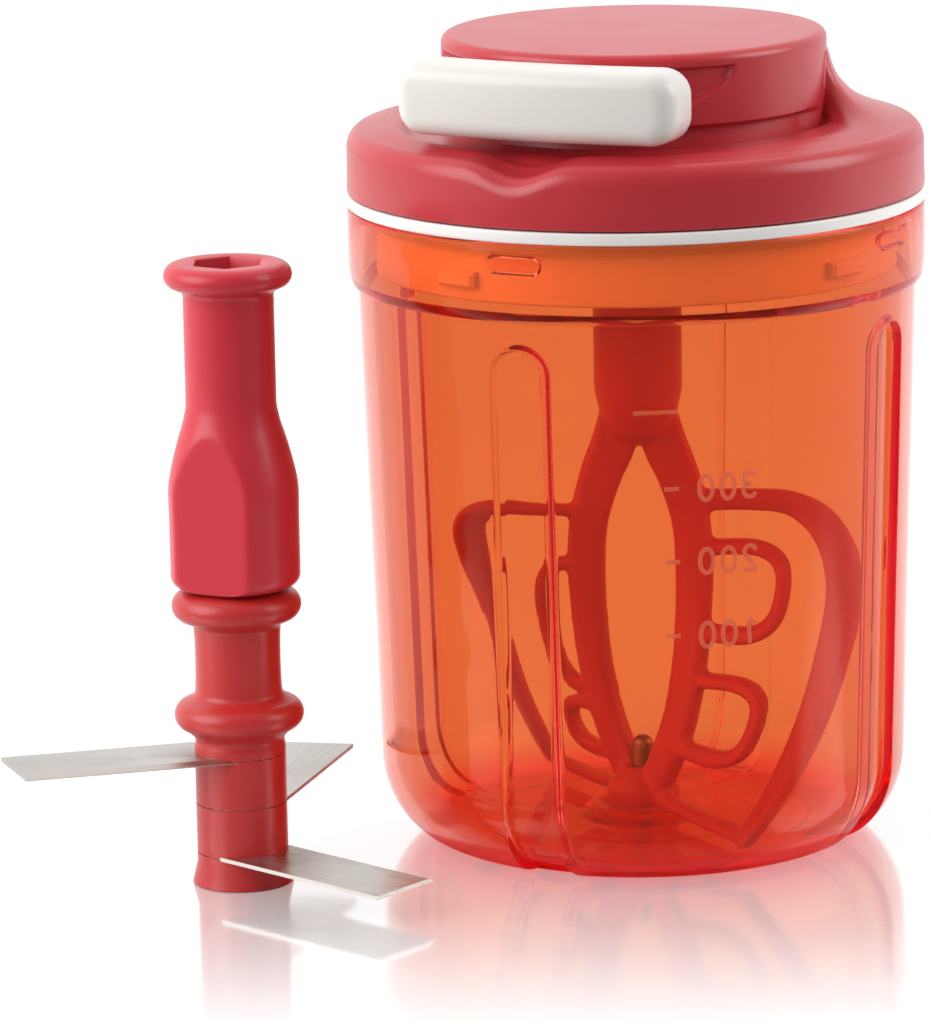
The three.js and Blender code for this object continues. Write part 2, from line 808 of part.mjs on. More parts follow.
function flangeProfile(top) {
  const { flangeRadius, flangeBead, beadStart, shaftRadius } = insert;
  const middle = flangeRadius - flangeBead;
  return [
    [shaftRadius, top - 2 * flangeBead - flangeBead / 2],
    ...arc(middle, top - flangeBead, flangeBead, flangeBead, beadStart, 90, 4),
  ];
}
function hexSocket(top) {
  return prism(hexagon(socketCorner), top - insert.socketDepth, top + overrun);
}

// Whisk: a twisted frame round a leaf-shaped opening, with a broad arm and two loops each side

// A point of the flat frame, [r, z] and its place across the thickness, after the twist.
function twisted(r, z, across) {
  const { twistLevel, twistAtFoot } = whiskSize;
  const angle = radians(Math.max(0, (twistLevel - z) / twistLevel) * twistAtFoot);
  const x = r * Math.cos(angle) + across * Math.sin(angle);
  const y = -r * Math.sin(angle) + across * Math.cos(angle);
  return [x, y, z];
}

// A bar of the frame along a curve of [r, z, width] points, with a flat face and two slopes a side.
function bar(points, thickness, steps) {
  const curve = new THREE.CatmullRomCurve3(points.map((point) => new THREE.Vector3(...point)));
  const corners = [];
  for (let i = 0; i <= steps; i++) {
    const at = curve.getPointAt(i / steps);
    const tangent = curve.getTangentAt(i / steps);
    const along = new THREE.Vector2(tangent.x, tangent.y).normalize();
    const [w, t] = [at.z / 2, thickness / 2];
    const bevel = Math.min(w, t) * whiskSize.cornerShare;
    const section = [[w, 0], [w - bevel, t], [bevel - w, t], [-w, 0], [bevel - w, -t], [w - bevel, -t]];
    section.forEach(([side, across]) =>
      corners.push(...twisted(at.x - along.y * side, at.y + along.x * side, across)),
    );
  }
  const around = 6;
  const faces = [];
  for (let i = 0; i < steps; i++)
    for (let j = 0; j < around; j++) {
      const [a, b] = [i * around + j, i * around + ((j + 1) % around)];
      faces.push(a, b, b + around, a, b + around, a + around);
    }
  const end = steps * around;
  for (let j = 1; j < around - 1; j++) faces.push(0, j + 1, j, end, end + j, end + j + 1);
  const geometry = new THREE.BufferGeometry();
  geometry.setAttribute("position", new THREE.Float32BufferAttribute(corners, 3));
  geometry.setIndex(faces);
  return toSolid(geometry);
}

// Each bar of the whisk, as shares of the reach, of the arm's height and of the arm's width.
const legShares = [
  [0.088, 1.218, 1.1],
  [0.112, 1.139, 1.25],
  [0.171, 1.044, 1.18],
  [0.224, 0.918, 1.09],
  [0.243, 0.791, 1.07],
  [0.249, 0.633, 1.03],
  [0.246, 0.475, 1.02],
  [0.225, 0.345, 1.06],
  [0.175, 0.237, 1.1],
  [0.11, 0.15, 1.1],
];
const rightWingShares = [
  [0.22, 0.967, 0.6],
  [0.5, 0.967, 0.6],
  [0.68, 0.953, 0.68],
  [0.83, 0.885, 0.92],
  [0.916, 0.76, 1.02],
  [0.926, 0.56, 1],
  [0.926, 0.34, 0.92],
  [0.9, 0.16, 0.78],
  [0.86, 0.075, 0.66],
];
const leftWingShares = [
  [0.22, 0.94, 0.36],
  [0.52, 0.945, 0.36],
  [0.74, 0.95, 0.5],
  [0.86, 0.905, 0.9],
  [0.86, 0.78, 0.92],
  [0.83, 0.64, 0.7],
  [0.84, 0.48, 0.58],
  [0.89, 0.27, 0.52],
  [0.93, 0.08, 0.46],
];
const lowArmShares = [
  [0.12, 0.11, 0.42],
  [0.4, 0.094, 0.38],
  [0.84, 0.092, 0.38],
];
const loopShares = [
  [0.24, 1, 0.42],
  [0.54, 1, 0.42],
  [0.63, 0.84, 0.44],
  [0.65, 0.5, 0.44],
  [0.62, 0.16, 0.46],
  [0.53, 0, 0.48],
  [0.22, 0, 0.48],
];
// The top and the bottom of each small loop, as shares of the arm's height.
const rightLoopShares = [
  [0.832, 0.6],
  [0.46, 0.262],
];
const leftLoopShares = [
  [0.775, 0.475],
  [0.39, 0.2],
];

function makeWhisk() {
  const { shaftBottom, footRadius, footTop, thickness, reachRight, reachLeft } = whiskSize;
  const { wingThickness, armHeight, armWidth } = whiskSize;
  const shaft = turned([
    [0, shaftBottom],
    [insert.shaftRadius - embed, shaftBottom],
    [insert.shaftRadius, shaftBottom + thickness],
    ...flangeProfile(whiskTop),
    [0, whiskTop],
  ]);
  const shaped = (reach, shares, depth, steps) =>
    bar(shares.map(([r, z, w]) => [r * reach, z * armHeight, w * armWidth]), depth, steps);
  const loop = (reach, [high, low]) =>
    shaped(reach, loopShares.map(([r, h, w]) => [r, low + (high - low) * h, w]), wingThickness, 8);
  const half = (side, reach, wingShares, loops) => [
    shaped(side * reachRight, legShares, thickness, 9),
    shaped(side * reach, wingShares, wingThickness, 12),
    shaped(side * reach, lowArmShares, wingThickness, 3),
    ...loops.map((ends) => loop(side * reach, ends)),
  ];
  const halves = [
    ...half(1, reachRight, rightWingShares, rightLoopShares),
    ...half(-1, reachLeft, leftWingShares, leftLoopShares),
  ];
  const foot = turned([
    [0, whiskBottom],
    [footRadius, whiskBottom],
    [footRadius, (whiskBottom + footTop) / 2],
    [footRadius / 2, footTop],
    [0, footTop],
  ]);
  const bore = cylinder(pin.radius + clearance, whiskBottom - overrun, footTop + overrun, tinySteps);
  // What is left turns clear of the ribs and of the bowl's corner.
  const swept = join(shaft, foot, ...halves).intersect(bowlSpace(flute.ribDepth + 2 * clearance));
  return cut(swept, hexSocket(whiskTop), bore);
}

// Blade insert: grip, neck, three blades held between spacers, all on one core

function makeGrip() {
  const { bottom, widest, radius, shoulder, face, faceTop, faceHalfWidth, edgeRound } = grip;
  const { shaftRadius } = insert;
  const rise = shoulder - widest;
  const flareShares = [
    [1, 0.3],
    [0.86, 0.45],
    [0.5, 0.7],
    [0.18, 0.88],
    [0.03, 1],
  ];
  const body = turned([
    [0, bottom],
    ...arc(radius - edgeRound, bottom + edgeRound, edgeRound, edgeRound, -90, 0, 3),
    [radius, widest],
    ...flareShares.map(([w, h]) => [shaftRadius + (radius - shaftRadius) * w, widest + rise * h]),
    ...flangeProfile(insertHeight),
    [0, insertHeight],
  ]);
  const coreHole = cylinder(core.radius + clearance, bottom - overrun, core.top + clearance);
  // Two flat faces, arched at the top, for the fingers.
  const arch = archedSlot(faceHalfWidth, faceTop)
    .map(({ x, y }) => new THREE.Vector2(x, Math.max(y, bottom - overrun)));
  const facet = standing(arch, face, radius + overrun);
  const facets = [pullAzimuth, pullAzimuth + 180].map((azimuth) => facing(facet, azimuth));
  return cut(body, ...facets, hexSocket(insertHeight), coreHole);
}

const aboveBlade = (level) => level + blade.thickness + clearance;

function makeNeck() {
  const { radius, ringRadius, bead, upperRing, lowerRing, taper, fillet } = neck;
  const hole = core.radius + clearance;
  const middle = ringRadius - bead;
  const bottom = aboveBlade(blade.upperLevel);
  return turnedRing([
    [hole, bottom],
    [radius, bottom],
    [radius, lowerRing - bead - taper],
    [radius + (middle - radius) / 3, lowerRing - bead - taper / 3],
    ...arc(middle, lowerRing, bead, bead, -60, 75, 4),
    [radius, lowerRing + bead + fillet],
    [radius, upperRing - bead - fillet],
    ...arc(middle, upperRing, bead, bead, -75, 90, 4),
    [middle - bead / 2, grip.bottom - clearance],
    [hole, grip.bottom - clearance],
  ]);
}

function makeSpacer(bottom, top) {
  return tube(core.radius + clearance, neck.radius, bottom, top);
}

function makeInsertFoot() {
  const hole = core.radius + clearance;
  const top = blade.lowerLevel - clearance;
  return turnedRing([
    [hole, 0],
    [neck.radius + foot.flare, 0],
    [neck.radius, foot.flareHeight],
    [neck.radius, top],
    [hole, top],
  ]);
}

function makeCore() {
  return cut(cylinder(core.radius, 0, core.top), cylinder(core.bore, -overrun, insert.boreDepth, tinySteps));
}

// A flat steel strip with a ground edge, its end cut a little askew, on a disc holed for the core.
function makeBlade(level, azimuth) {
  const { width, reach, thickness, bevel, edge, skew, hubRadius } = blade;
  const half = width / 2;
  const section = [[-half, 0], [half, 0], [half, edge], [half - bevel, thickness], [-half, thickness]];
  const strip = standing(section.map(([x, z]) => new THREE.Vector2(x, level + z)), 0, reach);
  const waste = [
    [-half - overrun, -reach - overrun],
    [half + overrun, -reach - overrun],
    [half + overrun, -reach + skew],
    [-half - overrun, -reach],
  ];
  const end = prism(waste.map(([x, y]) => new THREE.Vector2(x, y)), level - overrun, level + overrun);
  const disc = cylinder(hubRadius, level, level + thickness);
  const hole = cylinder(core.radius + clearance, level - overrun, level + overrun);
  return facing(cut(join(cut(strip, end), disc), hole), azimuth);
}

// Assembly

const lid = new THREE.Group();
const bladeInsert = new THREE.Group();
bladeInsert.position.set(cutter.x, cutter.y, 0);

lid.add(
  toMesh("lid_cover", makeLidCover(), redGloss),
  toMesh("lid_base", makeLidBase(), white),
  toMesh("lid_seal", makeSeal(), silicone),
  toMesh("pull_handle", makeHandle(), white),
  toMesh("cord_eyelet", makeEyelet(), steel),
  toMesh("spindle_bush", makeBush(), nylon),
  toMesh("drive_spindle", makeSpindle(), nylon),
  toMesh("cord_reel", makeReel(), nylon),
  toMesh("clutch_pawl_1", makePawl(0), steel),
  toMesh("clutch_pawl_2", makePawl(180), steel),
  toMesh("spring_arbor", makeArbor(), steel),
  toMesh("return_spring", makeSpring(), springSteel),
  toMesh("spring_cover", makeSpringLid(), nylon),
  ...screwPlaces().map((place, i) => toMesh(`lid_screw_${i + 1}`, makeScrew(place), steel)),
);

const { upperLevel, middleLevel, lowerLevel } = blade;
bladeInsert.add(
  toMesh("insert_grip", makeGrip(), redSatin),
  toMesh("insert_neck", makeNeck(), redSatin),
  toMesh("insert_core", makeCore(), nylon),
  toMesh("insert_spacer_upper", makeSpacer(aboveBlade(middleLevel), upperLevel - clearance), redSatin),
  toMesh("insert_spacer_lower", makeSpacer(aboveBlade(lowerLevel), middleLevel - clearance), redSatin),
  toMesh("insert_foot", makeInsertFoot(), redSatin),
  toMesh("blade_upper", makeBlade(upperLevel, blade.upperAzimuth), steel),
  toMesh("blade_middle", makeBlade(middleLevel, blade.middleAzimuth), steel),
  toMesh("blade_lower", makeBlade(lowerLevel, blade.lowerAzimuth), steel),
);

const chopper = new THREE.Group();
chopper.add(
  toMesh("bowl", makeBowl(), clearOrange),
  toMesh("pivot_pin", makePivotPin(), steel),
  toMesh("whisk", makeWhisk(), redSatin),
  lid,
  bladeInsert,
);

export default chopper;
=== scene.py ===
"""Looks of a hand-pulled food chopper: clear bowl, lid, pull handle, whisk and blade insert."""

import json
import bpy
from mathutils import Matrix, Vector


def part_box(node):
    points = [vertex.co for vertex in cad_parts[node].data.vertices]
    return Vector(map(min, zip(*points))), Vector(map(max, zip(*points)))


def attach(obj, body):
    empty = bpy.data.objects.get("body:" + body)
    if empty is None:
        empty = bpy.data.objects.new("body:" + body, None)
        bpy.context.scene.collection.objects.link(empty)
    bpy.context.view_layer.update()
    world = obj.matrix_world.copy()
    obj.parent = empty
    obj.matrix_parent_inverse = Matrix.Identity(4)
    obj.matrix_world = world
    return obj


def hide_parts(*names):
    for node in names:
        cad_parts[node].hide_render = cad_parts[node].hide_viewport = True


bl_info = {
    "name": "Hand-Pulled Food Chopper",
    "version": (1, 0, 0),
    "blender": (4, 5, 0),
    "location": "View3D > Sidebar > Food Chopper",
    "description": "Builds the visible pieces and finishes of a hand-pulled food chopper",
    "category": "Object",
}

from functools import partial, reduce
from math import atan2, copysign, cos, degrees, hypot, pi, radians, sin, sqrt
from types import SimpleNamespace

import bpy
import numpy as np
from bpy.props import FloatProperty, FloatVectorProperty, PointerProperty
from mathutils import Matrix, Vector

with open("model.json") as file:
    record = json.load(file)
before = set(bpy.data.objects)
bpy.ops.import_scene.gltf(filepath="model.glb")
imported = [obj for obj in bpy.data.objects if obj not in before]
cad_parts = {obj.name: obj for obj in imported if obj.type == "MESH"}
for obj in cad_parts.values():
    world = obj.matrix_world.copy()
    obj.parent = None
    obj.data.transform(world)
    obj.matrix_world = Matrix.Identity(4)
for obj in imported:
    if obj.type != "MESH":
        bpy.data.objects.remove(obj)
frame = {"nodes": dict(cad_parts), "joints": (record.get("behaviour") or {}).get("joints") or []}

MM = 0.001  # Geometry is worked out in millimetres, and Blender's lengths are metres.
BOWL_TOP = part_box("bowl")[1].z / MM
PULL = next(joint["axis"] for joint in frame["joints"] if joint["name"] == "handle_pull")
PULL_AZIMUTH = degrees(atan2(PULL[0], -PULL[1]))  # from the front to the right
TO_PULL = Matrix.Rotation(radians(PULL_AZIMUTH), 4, "Z")
SCREWS = "lid_screw_1", "lid_screw_2", "lid_screw_3"
CLEARANCE = 0.3  # gap between two pieces that touch
PIN_RADIUS, PIN_TOP, PIN_SEAT = 1.9, 17.4, 1.9  # the centre pin, and the level of its seat in the bowl's foot
PIN_BORE = PIN_RADIUS + CLEARANCE
CORE_BORE = 4.3  # bore of the pieces that are threaded on the insert's core
LAP = 0.58  # how far up and down the skins of these pieces reach over the blades' rims
SKIN = 0.15  # and how thick they are there
ROUND_STEPS, INSERT_STEPS = 168, 144  # facets round a large turned piece, and round the insert's pieces


def linear(hex_colour):
    """An sRGB hex colour as linear RGBA."""
    channels = [int(hex_colour[i : i + 2], 16) / 255 for i in (1, 3, 5)]
    return tuple(c / 12.92 if c <= 0.04045 else ((c + 0.055) / 1.055) ** 2.4 for c in channels) + (1.0,)


def length(millimetres, description):
    return FloatProperty(
        description=description, default=millimetres * MM, unit="LENGTH", subtype="DISTANCE", precision=5
    )


def paint(hex_colour, description):
    return FloatVectorProperty(
        description=description, default=linear(hex_colour), subtype="COLOR", size=4, min=0, max=1
    )


def turn(angle, description):
    return FloatProperty(description=description, default=radians(angle), unit="ROTATION", subtype="ANGLE")


def number(value, description):
    return FloatProperty(description=description, default=value, min=0)


class BowlSettings(bpy.types.PropertyGroup):
    """Sizes and colours of the bowl, its flutes and its scale."""

    height: length(BOWL_TOP, "From the foot to the rim")
    wall: length(2.4, "Thickness of the side wall")
    side_radius: length(47.7, "Outside radius where the side meets the rounded foot")
    neck_radius: length(50.2, "Outside radius under the collar")
    collar_radius: length(51.9, "Outside radius of the collar")
    collar_bottom: length(102.6, "Height at which the collar starts")
    flute_width: length(9.4, "Width of each arched flute")
    flute_depth: length(1.6, "How far each flute is let into the wall")
    flute_top: length(97.2, "Height of the top of each flute's arch")
    flute_azimuth: turn(64.4, "Where the first flute stands, from the front to the right")
    mark_height: length(4.3, "Height of the figures on the scale")
    resin: paint("#F0B87E", "Colour that one wall gives to light passing through")
    foot_resin: paint("#F96A6C", "The same where the wall thickens towards the foot")
    deep_resin: paint("#F73FC4", "Colour that the resin keeps over a long way through it")
    frosted: paint("#F79A78", "Colour of the moulded scale marks")


class LidSettings(bpy.types.PropertyGroup):
    """Sizes and colours of the lid cover and the lid base."""

    hub_radius: length(34.5, "Radius of the round hub on top")
    hub_top: length(147.2, "Height of the hub's top face at its edge")
    hub_round: length(1.6, "Radius of the hub's upper edge")
    crown: length(0.5, "How far the hub's top face is domed")
    shoulder: length(130.6, "Height at which the flare starts")
    ledge: length(131.8, "Height of the ledge under the handle")
    scoop_depth: length(0.9, "How far the broad finger scoop dips")
    finger_depth: length(3.0, "How much further the middle of the scoop dips")
    edge_radius: length(52.0, "Outside radius of the white edge")
    cover_wall: length(2.6, "Wall thickness of the cover")
    red: paint("#C12F38", "Colour of the lid cover")
    white: paint("#F2EEEA", "Colour of the lid base")
    seal: paint("#D9D6CE", "Colour of the silicone seal")


class HandleSettings(bpy.types.PropertyGroup):
    """Sizes and colour of the pull handle."""

    length: length(53.4, "From end to end")
    height: length(13.1, "From the lower to the upper edge")
    thickness: length(11.0, "From the back to the bowed front face")
    bottom: length(133.2, "Height of the lower edge")
    back: length(35.2, "From the lid's axis to the back face")
    front_curve: length(130.0, "Radius of the bow in plan")
    corner: length(4.7, "Radius of the corners in front view")
    edge: length(3.3, "Radius of the edges round the front and the back")
    white: paint("#E1DDD7", "Colour of the handle")


class WhiskSettings(bpy.types.PropertyGroup):
    """Sizes and colour of the whisk."""

    reach_right: length(41.0, "From the axis to the outer edge of the right wing")
    reach_left: length(36.0, "From the axis to the outer edge of the left wing")
    arm_height: length(63.2, "Height of the top arms")
    arm_width: length(6.6, "Width of the main frame bars")
    thickness: length(4.2, "Depth of the leaf-shaped frame")
    wing_thickness: length(3.5, "Depth of the wings and loops")
    twist: turn(66.0, "How far the frame turns from its flat part down to the foot")
    twist_level: length(60.0, "Height above which the frame is flat")
    detail: length(0.55, "Size of the grid that blends the bars together")
    red: paint("#C43C7C", "Colour of the whisk")


class InsertSettings(bpy.types.PropertyGroup):
    """Sizes and colours of the three-blade insert."""

    grip_radius: length(11.5, "Radius of the grip where it is widest")
    face: length(9.0, "From the axis to each flat face of the grip")
    spacer_radius: length(7.95, "Radius of the spacers where they meet the blades")
    neck_radius: length(7.7, "Radius of the neck between its rings")
    ring_radius: length(11.5, "Outside radius of the two rings")
    flange_radius: length(11.3, "Outside radius of the drive end's flange")
    flange_bead: length(2.2, "Half the height of the flange")
    shaft_radius: length(8.0, "Radius of the shaft under the flange")
    socket_corner: length(6.6, "From the axis to the corners of the six-sided socket")
    socket_depth: length(11.0, "Depth of the six-sided socket")
    grit: length(0.35, "Spacing of the grinding lines on the blades")
    red: paint("#D12D3E", "Colour of the grip")
    neck_red: paint("#C42D2C", "Colour of the neck, the spacers and the foot")
    steel: paint("#C9C4BE", "Colour of the blades")


class StageSettings(bpy.types.PropertyGroup):
    """Floor, light and camera."""

    floor_size: length(6000.0, "Length of the floor's sides")
    floor: paint("#FDFDFD", "Colour of the floor")
    mirror: number(0.6, "Share of the floor's look that is reflection, at the foot")
    world_light: number(1.05, "Strength of the light from behind")
    front_light: number(0.22, "Share of it that comes from in front")
    left_light: number(0.2, "Share of it added from the left")
    top_light: number(0.25, "Share of it added from above")
    key_power: number(13.5, "Power of the large lamp at the upper left, in watts")
    fill_power: number(7.0, "Power of the lamp at the right, in watts")
    lens: number(246.7, "Focal length of the camera, in millimetres")


def over(node):
    """A shift from the lid's axis to the axis of a CAD node."""
    low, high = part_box(node)
    return Matrix.Translation(((low.x + high.x) / 2 / MM, (low.y + high.y) / 2 / MM, 0))


def in_mm(settings):
    """A group's values by name, its lengths in millimetres."""
    values = {}
    for name in settings.__annotations__:
        value = getattr(settings, name)
        values[name] = value / MM if settings.bl_rna.properties[name].unit == "LENGTH" else value
    return SimpleNamespace(**values)


# Curves and meshes


def spread(steps):
    """Azimuths in degrees, evenly round the axis."""
    return np.arange(steps) * 360 / steps


def arc(r, z, size, start, end, steps):
    """Points (r, z) on part of a circle, or of an ellipse with two half axes, its angles in degrees."""
    width, height = size if isinstance(size, tuple) else (size, size)
    angles = np.radians(np.linspace(start, end, steps + 1))
    return [(r + width * cos(a), z + height * sin(a)) for a in angles]


def smoothstep(x, low, high):
    t = np.clip((np.asarray(x, float) - low) / (high - low), 0, 1)
    return t * t * (3 - 2 * t)


def curve_through(points, steps):
    """A smooth centripetal curve through points, as steps + 1 points spaced evenly, and its tangents."""
    p = np.array(points, float)
    p = np.vstack([2 * p[0] - p[1], p, 2 * p[-1] - p[-2]])
    fine = []
    for i in range(1, len(p) - 2):
        gaps = np.linalg.norm(np.diff(p[i - 1 : i + 3], axis=0), axis=1)
        knots = np.concatenate([[0], np.cumsum(gaps**0.5)])
        t = np.linspace(knots[1], knots[2], 24, endpoint=False)[:, None]

        def between(a, b, ta, tb):
            return ((tb - t) * a + (t - ta) * b) / (tb - ta)

        a1, a2, a3 = (between(p[i - 1 + k], p[i + k], knots[k], knots[k + 1]) for k in range(3))
        b1 = between(a1, a2, knots[0], knots[2])
        b2 = between(a2, a3, knots[1], knots[3])
        fine.append(between(b1, b2, knots[1], knots[2]))
    fine = np.vstack([*fine, p[-2]])
    run = np.concatenate([[0], np.cumsum(np.linalg.norm(np.diff(fine, axis=0), axis=1))])
    at = np.linspace(0, run[-1], steps + 1)
    even = np.stack([np.interp(at, run, fine[:, k]) for k in range(fine.shape[1])], 1)
    return even, np.gradient(even, axis=0)


def around(rings, azimuths, ring=False):
    """Vertices and faces of a surface round Z: each ring is r and z, or r and z at every azimuth."""
    angle = np.radians(azimuths)
    count = len(azimuths)
    vertices, first = [], []
    for r, z in rings:
        r, z = np.broadcast_to(r, count), np.broadcast_to(z, count)
        first.append(len(vertices))
        if r.max() < 1e-9:
            vertices.append((0, 0, float(z.mean())))
        else:
            vertices.extend(zip(r * np.sin(angle), -r * np.cos(angle), z))
    single = np.diff([*first, len(vertices)]) == 1
    faces = []
    for i in range(len(rings) - (not ring)):
        k = (i + 1) % len(rings)
        for j in range(count):
            n = (j + 1) % count
            low = [first[i]] if single[i] else [first[i] + j, first[i] + n]
            high = [first[k]] if single[k] else [first[k] + n, first[k] + j]
            if len(low) + len(high) > 2:
                faces.append(low + high)
    return vertices, faces


def turned(profile, steps=ROUND_STEPS, ring=False):
    return around(profile, spread(steps), ring)


def tube_profile(inner, outer, bottom, top, bevel=0.25):
    """A tube's section with small rounded outer edges."""
    return [
        (inner, bottom),
        *arc(outer - bevel, bottom + bevel, bevel, -90, 0, 3),
        *arc(outer - bevel, top - bevel, bevel, 0, 90, 3),
        (inner, top),
    ]


def sweep(sections):
    """Vertices and faces of a closed bar: sections[i] is the loop of points at its place along the bar."""
    count = len(sections[0])
    vertices = [tuple(v) for loop in sections for v in loop]
    faces = []
    for i in range(len(sections) - 1):
        for j in range(count):
            a, b = i * count + j, i * count + (j + 1) % count
            faces.append((a, b, b + count, a + count))
    last = (len(sections) - 1) * count
    faces.append(tuple(range(count))[::-1])
    faces.append(tuple(last + j for j in range(count)))
    return vertices, faces


def joined(*parts):
    vertices, faces = [], []
    for some, ties in parts:
        start = len(vertices)
        vertices.extend(some)
        faces.extend([tuple(start + i for i in face) for face in ties])
    return vertices, faces


def moved(part, matrix):
    return [tuple(matrix @ Vector(v)) for v in part[0]], part[1]


def new_object(name, part, sharp=35):
    """A smooth-shaded object from millimetre vertices, its faces looking outwards."""
    vertices, faces = part
    mesh = bpy.data.meshes.new(name)
    mesh.from_pydata([tuple(c * MM for c in v) for v in vertices], [], [tuple(f) for f in faces])
    mesh.update()
    mesh.calc_loop_triangles()
    corners = np.array([v.co for v in mesh.vertices])
    triangles = np.array([t.vertices for t in mesh.loop_triangles])
    a, b, c = (corners[triangles[:, k]] for k in range(3))
    if np.einsum("ij,ij->i", a, np.cross(b, c)).sum() < 0:
        mesh.flip_normals()
    mesh.shade_smooth()
    mesh.set_sharp_from_angle(angle=radians(sharp))
    made = bpy.data.objects.new(name, mesh)
    bpy.context.scene.collection.objects.link(made)
    return made


def settle(made, sharp=35):
    """Replaces an object's mesh by the result of its modifiers."""
    bpy.context.view_layer.update()
    mesh = bpy.data.meshes.new_from_object(made.evaluated_get(bpy.context.evaluated_depsgraph_get()))
    made.modifiers.clear()
    made.data = mesh
    mesh.shade_smooth()
    mesh.set_sharp_from_angle(angle=radians(sharp))


def cut_away(made, cutters, sharp=35):
    """Cuts the cutters from an object and removes them."""
    for cutter in cutters:
        modifier = made.modifiers.new("Cut", "BOOLEAN")
        modifier.operation = "DIFFERENCE"
        modifier.object = cutter
        modifier.solver = "EXACT"
    settle(made, sharp)
    for cutter in cutters:
        bpy.data.objects.remove(cutter)


def fit_out(made, body, slot, finish, *nodes):
    """Gives a new piece its finish and its body, and hides the nodes that it stands for. Its slot argument is
    not used.
    """
    made.data.materials.clear()
    made.data.materials.append(finish)
    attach(made, body)
    if nodes:
        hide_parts(*nodes)
    return made


def refinish(finish, *nodes):
    """Gives CAD nodes that stay a finish."""
    for name in nodes:
        for slot in frame["nodes"][name].material_slots:
            slot.material = finish


# Finishes

SMOOTH = {"interpolation_type": "SMOOTHSTEP"}
DRY_SATIN = {"rough": 0.45, "grain_mm": 0.6, "deep_mm": 0.01, "tone": 0.92}
BLACK, WHITE = (0.0, 0.0, 0.0, 1.0), (1.0, 1.0, 1.0, 1.0)


def add_node(tree, kind, inputs=(), **settings):
    """Adds a node: inputs maps a socket's name or number to a value, or to the node or output feeding it."""
    made = tree.nodes.new("ShaderNode" + kind)
    for name, value in settings.items():
        setattr(made, name, value)
    for key, value in dict(inputs).items():
        if isinstance(value, bpy.types.Node):
            value = next(output for output in value.outputs if output.enabled)
        if isinstance(value, bpy.types.NodeSocket):
            tree.links.new(value, made.inputs[key])
        else:
            made.inputs[key].default_value = value
    return made


def new_finish(name):
    finish = bpy.data.materials.new(name)
    finish.use_nodes = True
    finish.node_tree.nodes.clear()
    return finish, partial(add_node, finish.node_tree)


def span(low, high, least=0.0, most=1.0):
    """A map range's ends, from low and high to least and most."""
    return {"From Min": low, "From Max": high, "To Min": least, "To Max": most}


def per_metre(millimetres):
    return 1 / (millimetres * MM)


def darker(colour, share):
    return tuple(c * share for c in colour[:3]) + (1.0,)


def moulded_plastic(name, colour, rough, grain_mm, deep_mm, tone=0.93, scatter=0.0, extra=()):
    """Injection-moulded plastic: an even colour with faint flow clouds and a fine mould texture."""
    cloud_mm, gloss_spread, scatter_mm = 22, 0.03, 1.2
    finish, add = new_finish(name)
    place = add("TexCoord").outputs["Object"]
    clouds = add("TexNoise", {"Vector": place, "Scale": per_metre(cloud_mm), "Detail": 3.0, "Roughness": 0.55})
    colours = add("Mix", {"Factor": clouds, 6: darker(colour, tone), 7: colour}, data_type="RGBA")
    grain = add("TexNoise", {"Vector": place, "Scale": per_metre(grain_mm), "Detail": 2.0, "Roughness": 0.6})
    low, high = rough - gloss_spread, rough + gloss_spread
    gloss = add("MapRange", {"Value": clouds, **span(0.1, 0.9, low, high)}, **SMOOTH)
    bump = add("Bump", {"Height": grain, "Strength": 0.6, "Distance": deep_mm * MM})
    look = {"Base Color": colours, "Roughness": gloss, "Normal": bump, "IOR": 1.49}
    if scatter:
        look["Subsurface Weight"] = scatter
        look.update({"Subsurface Radius": (1.0, 0.35, 0.3), "Subsurface Scale": scatter_mm * MM})
    look.update(extra)
    add("OutputMaterial", {"Surface": add("BsdfPrincipled", look)})
    return finish


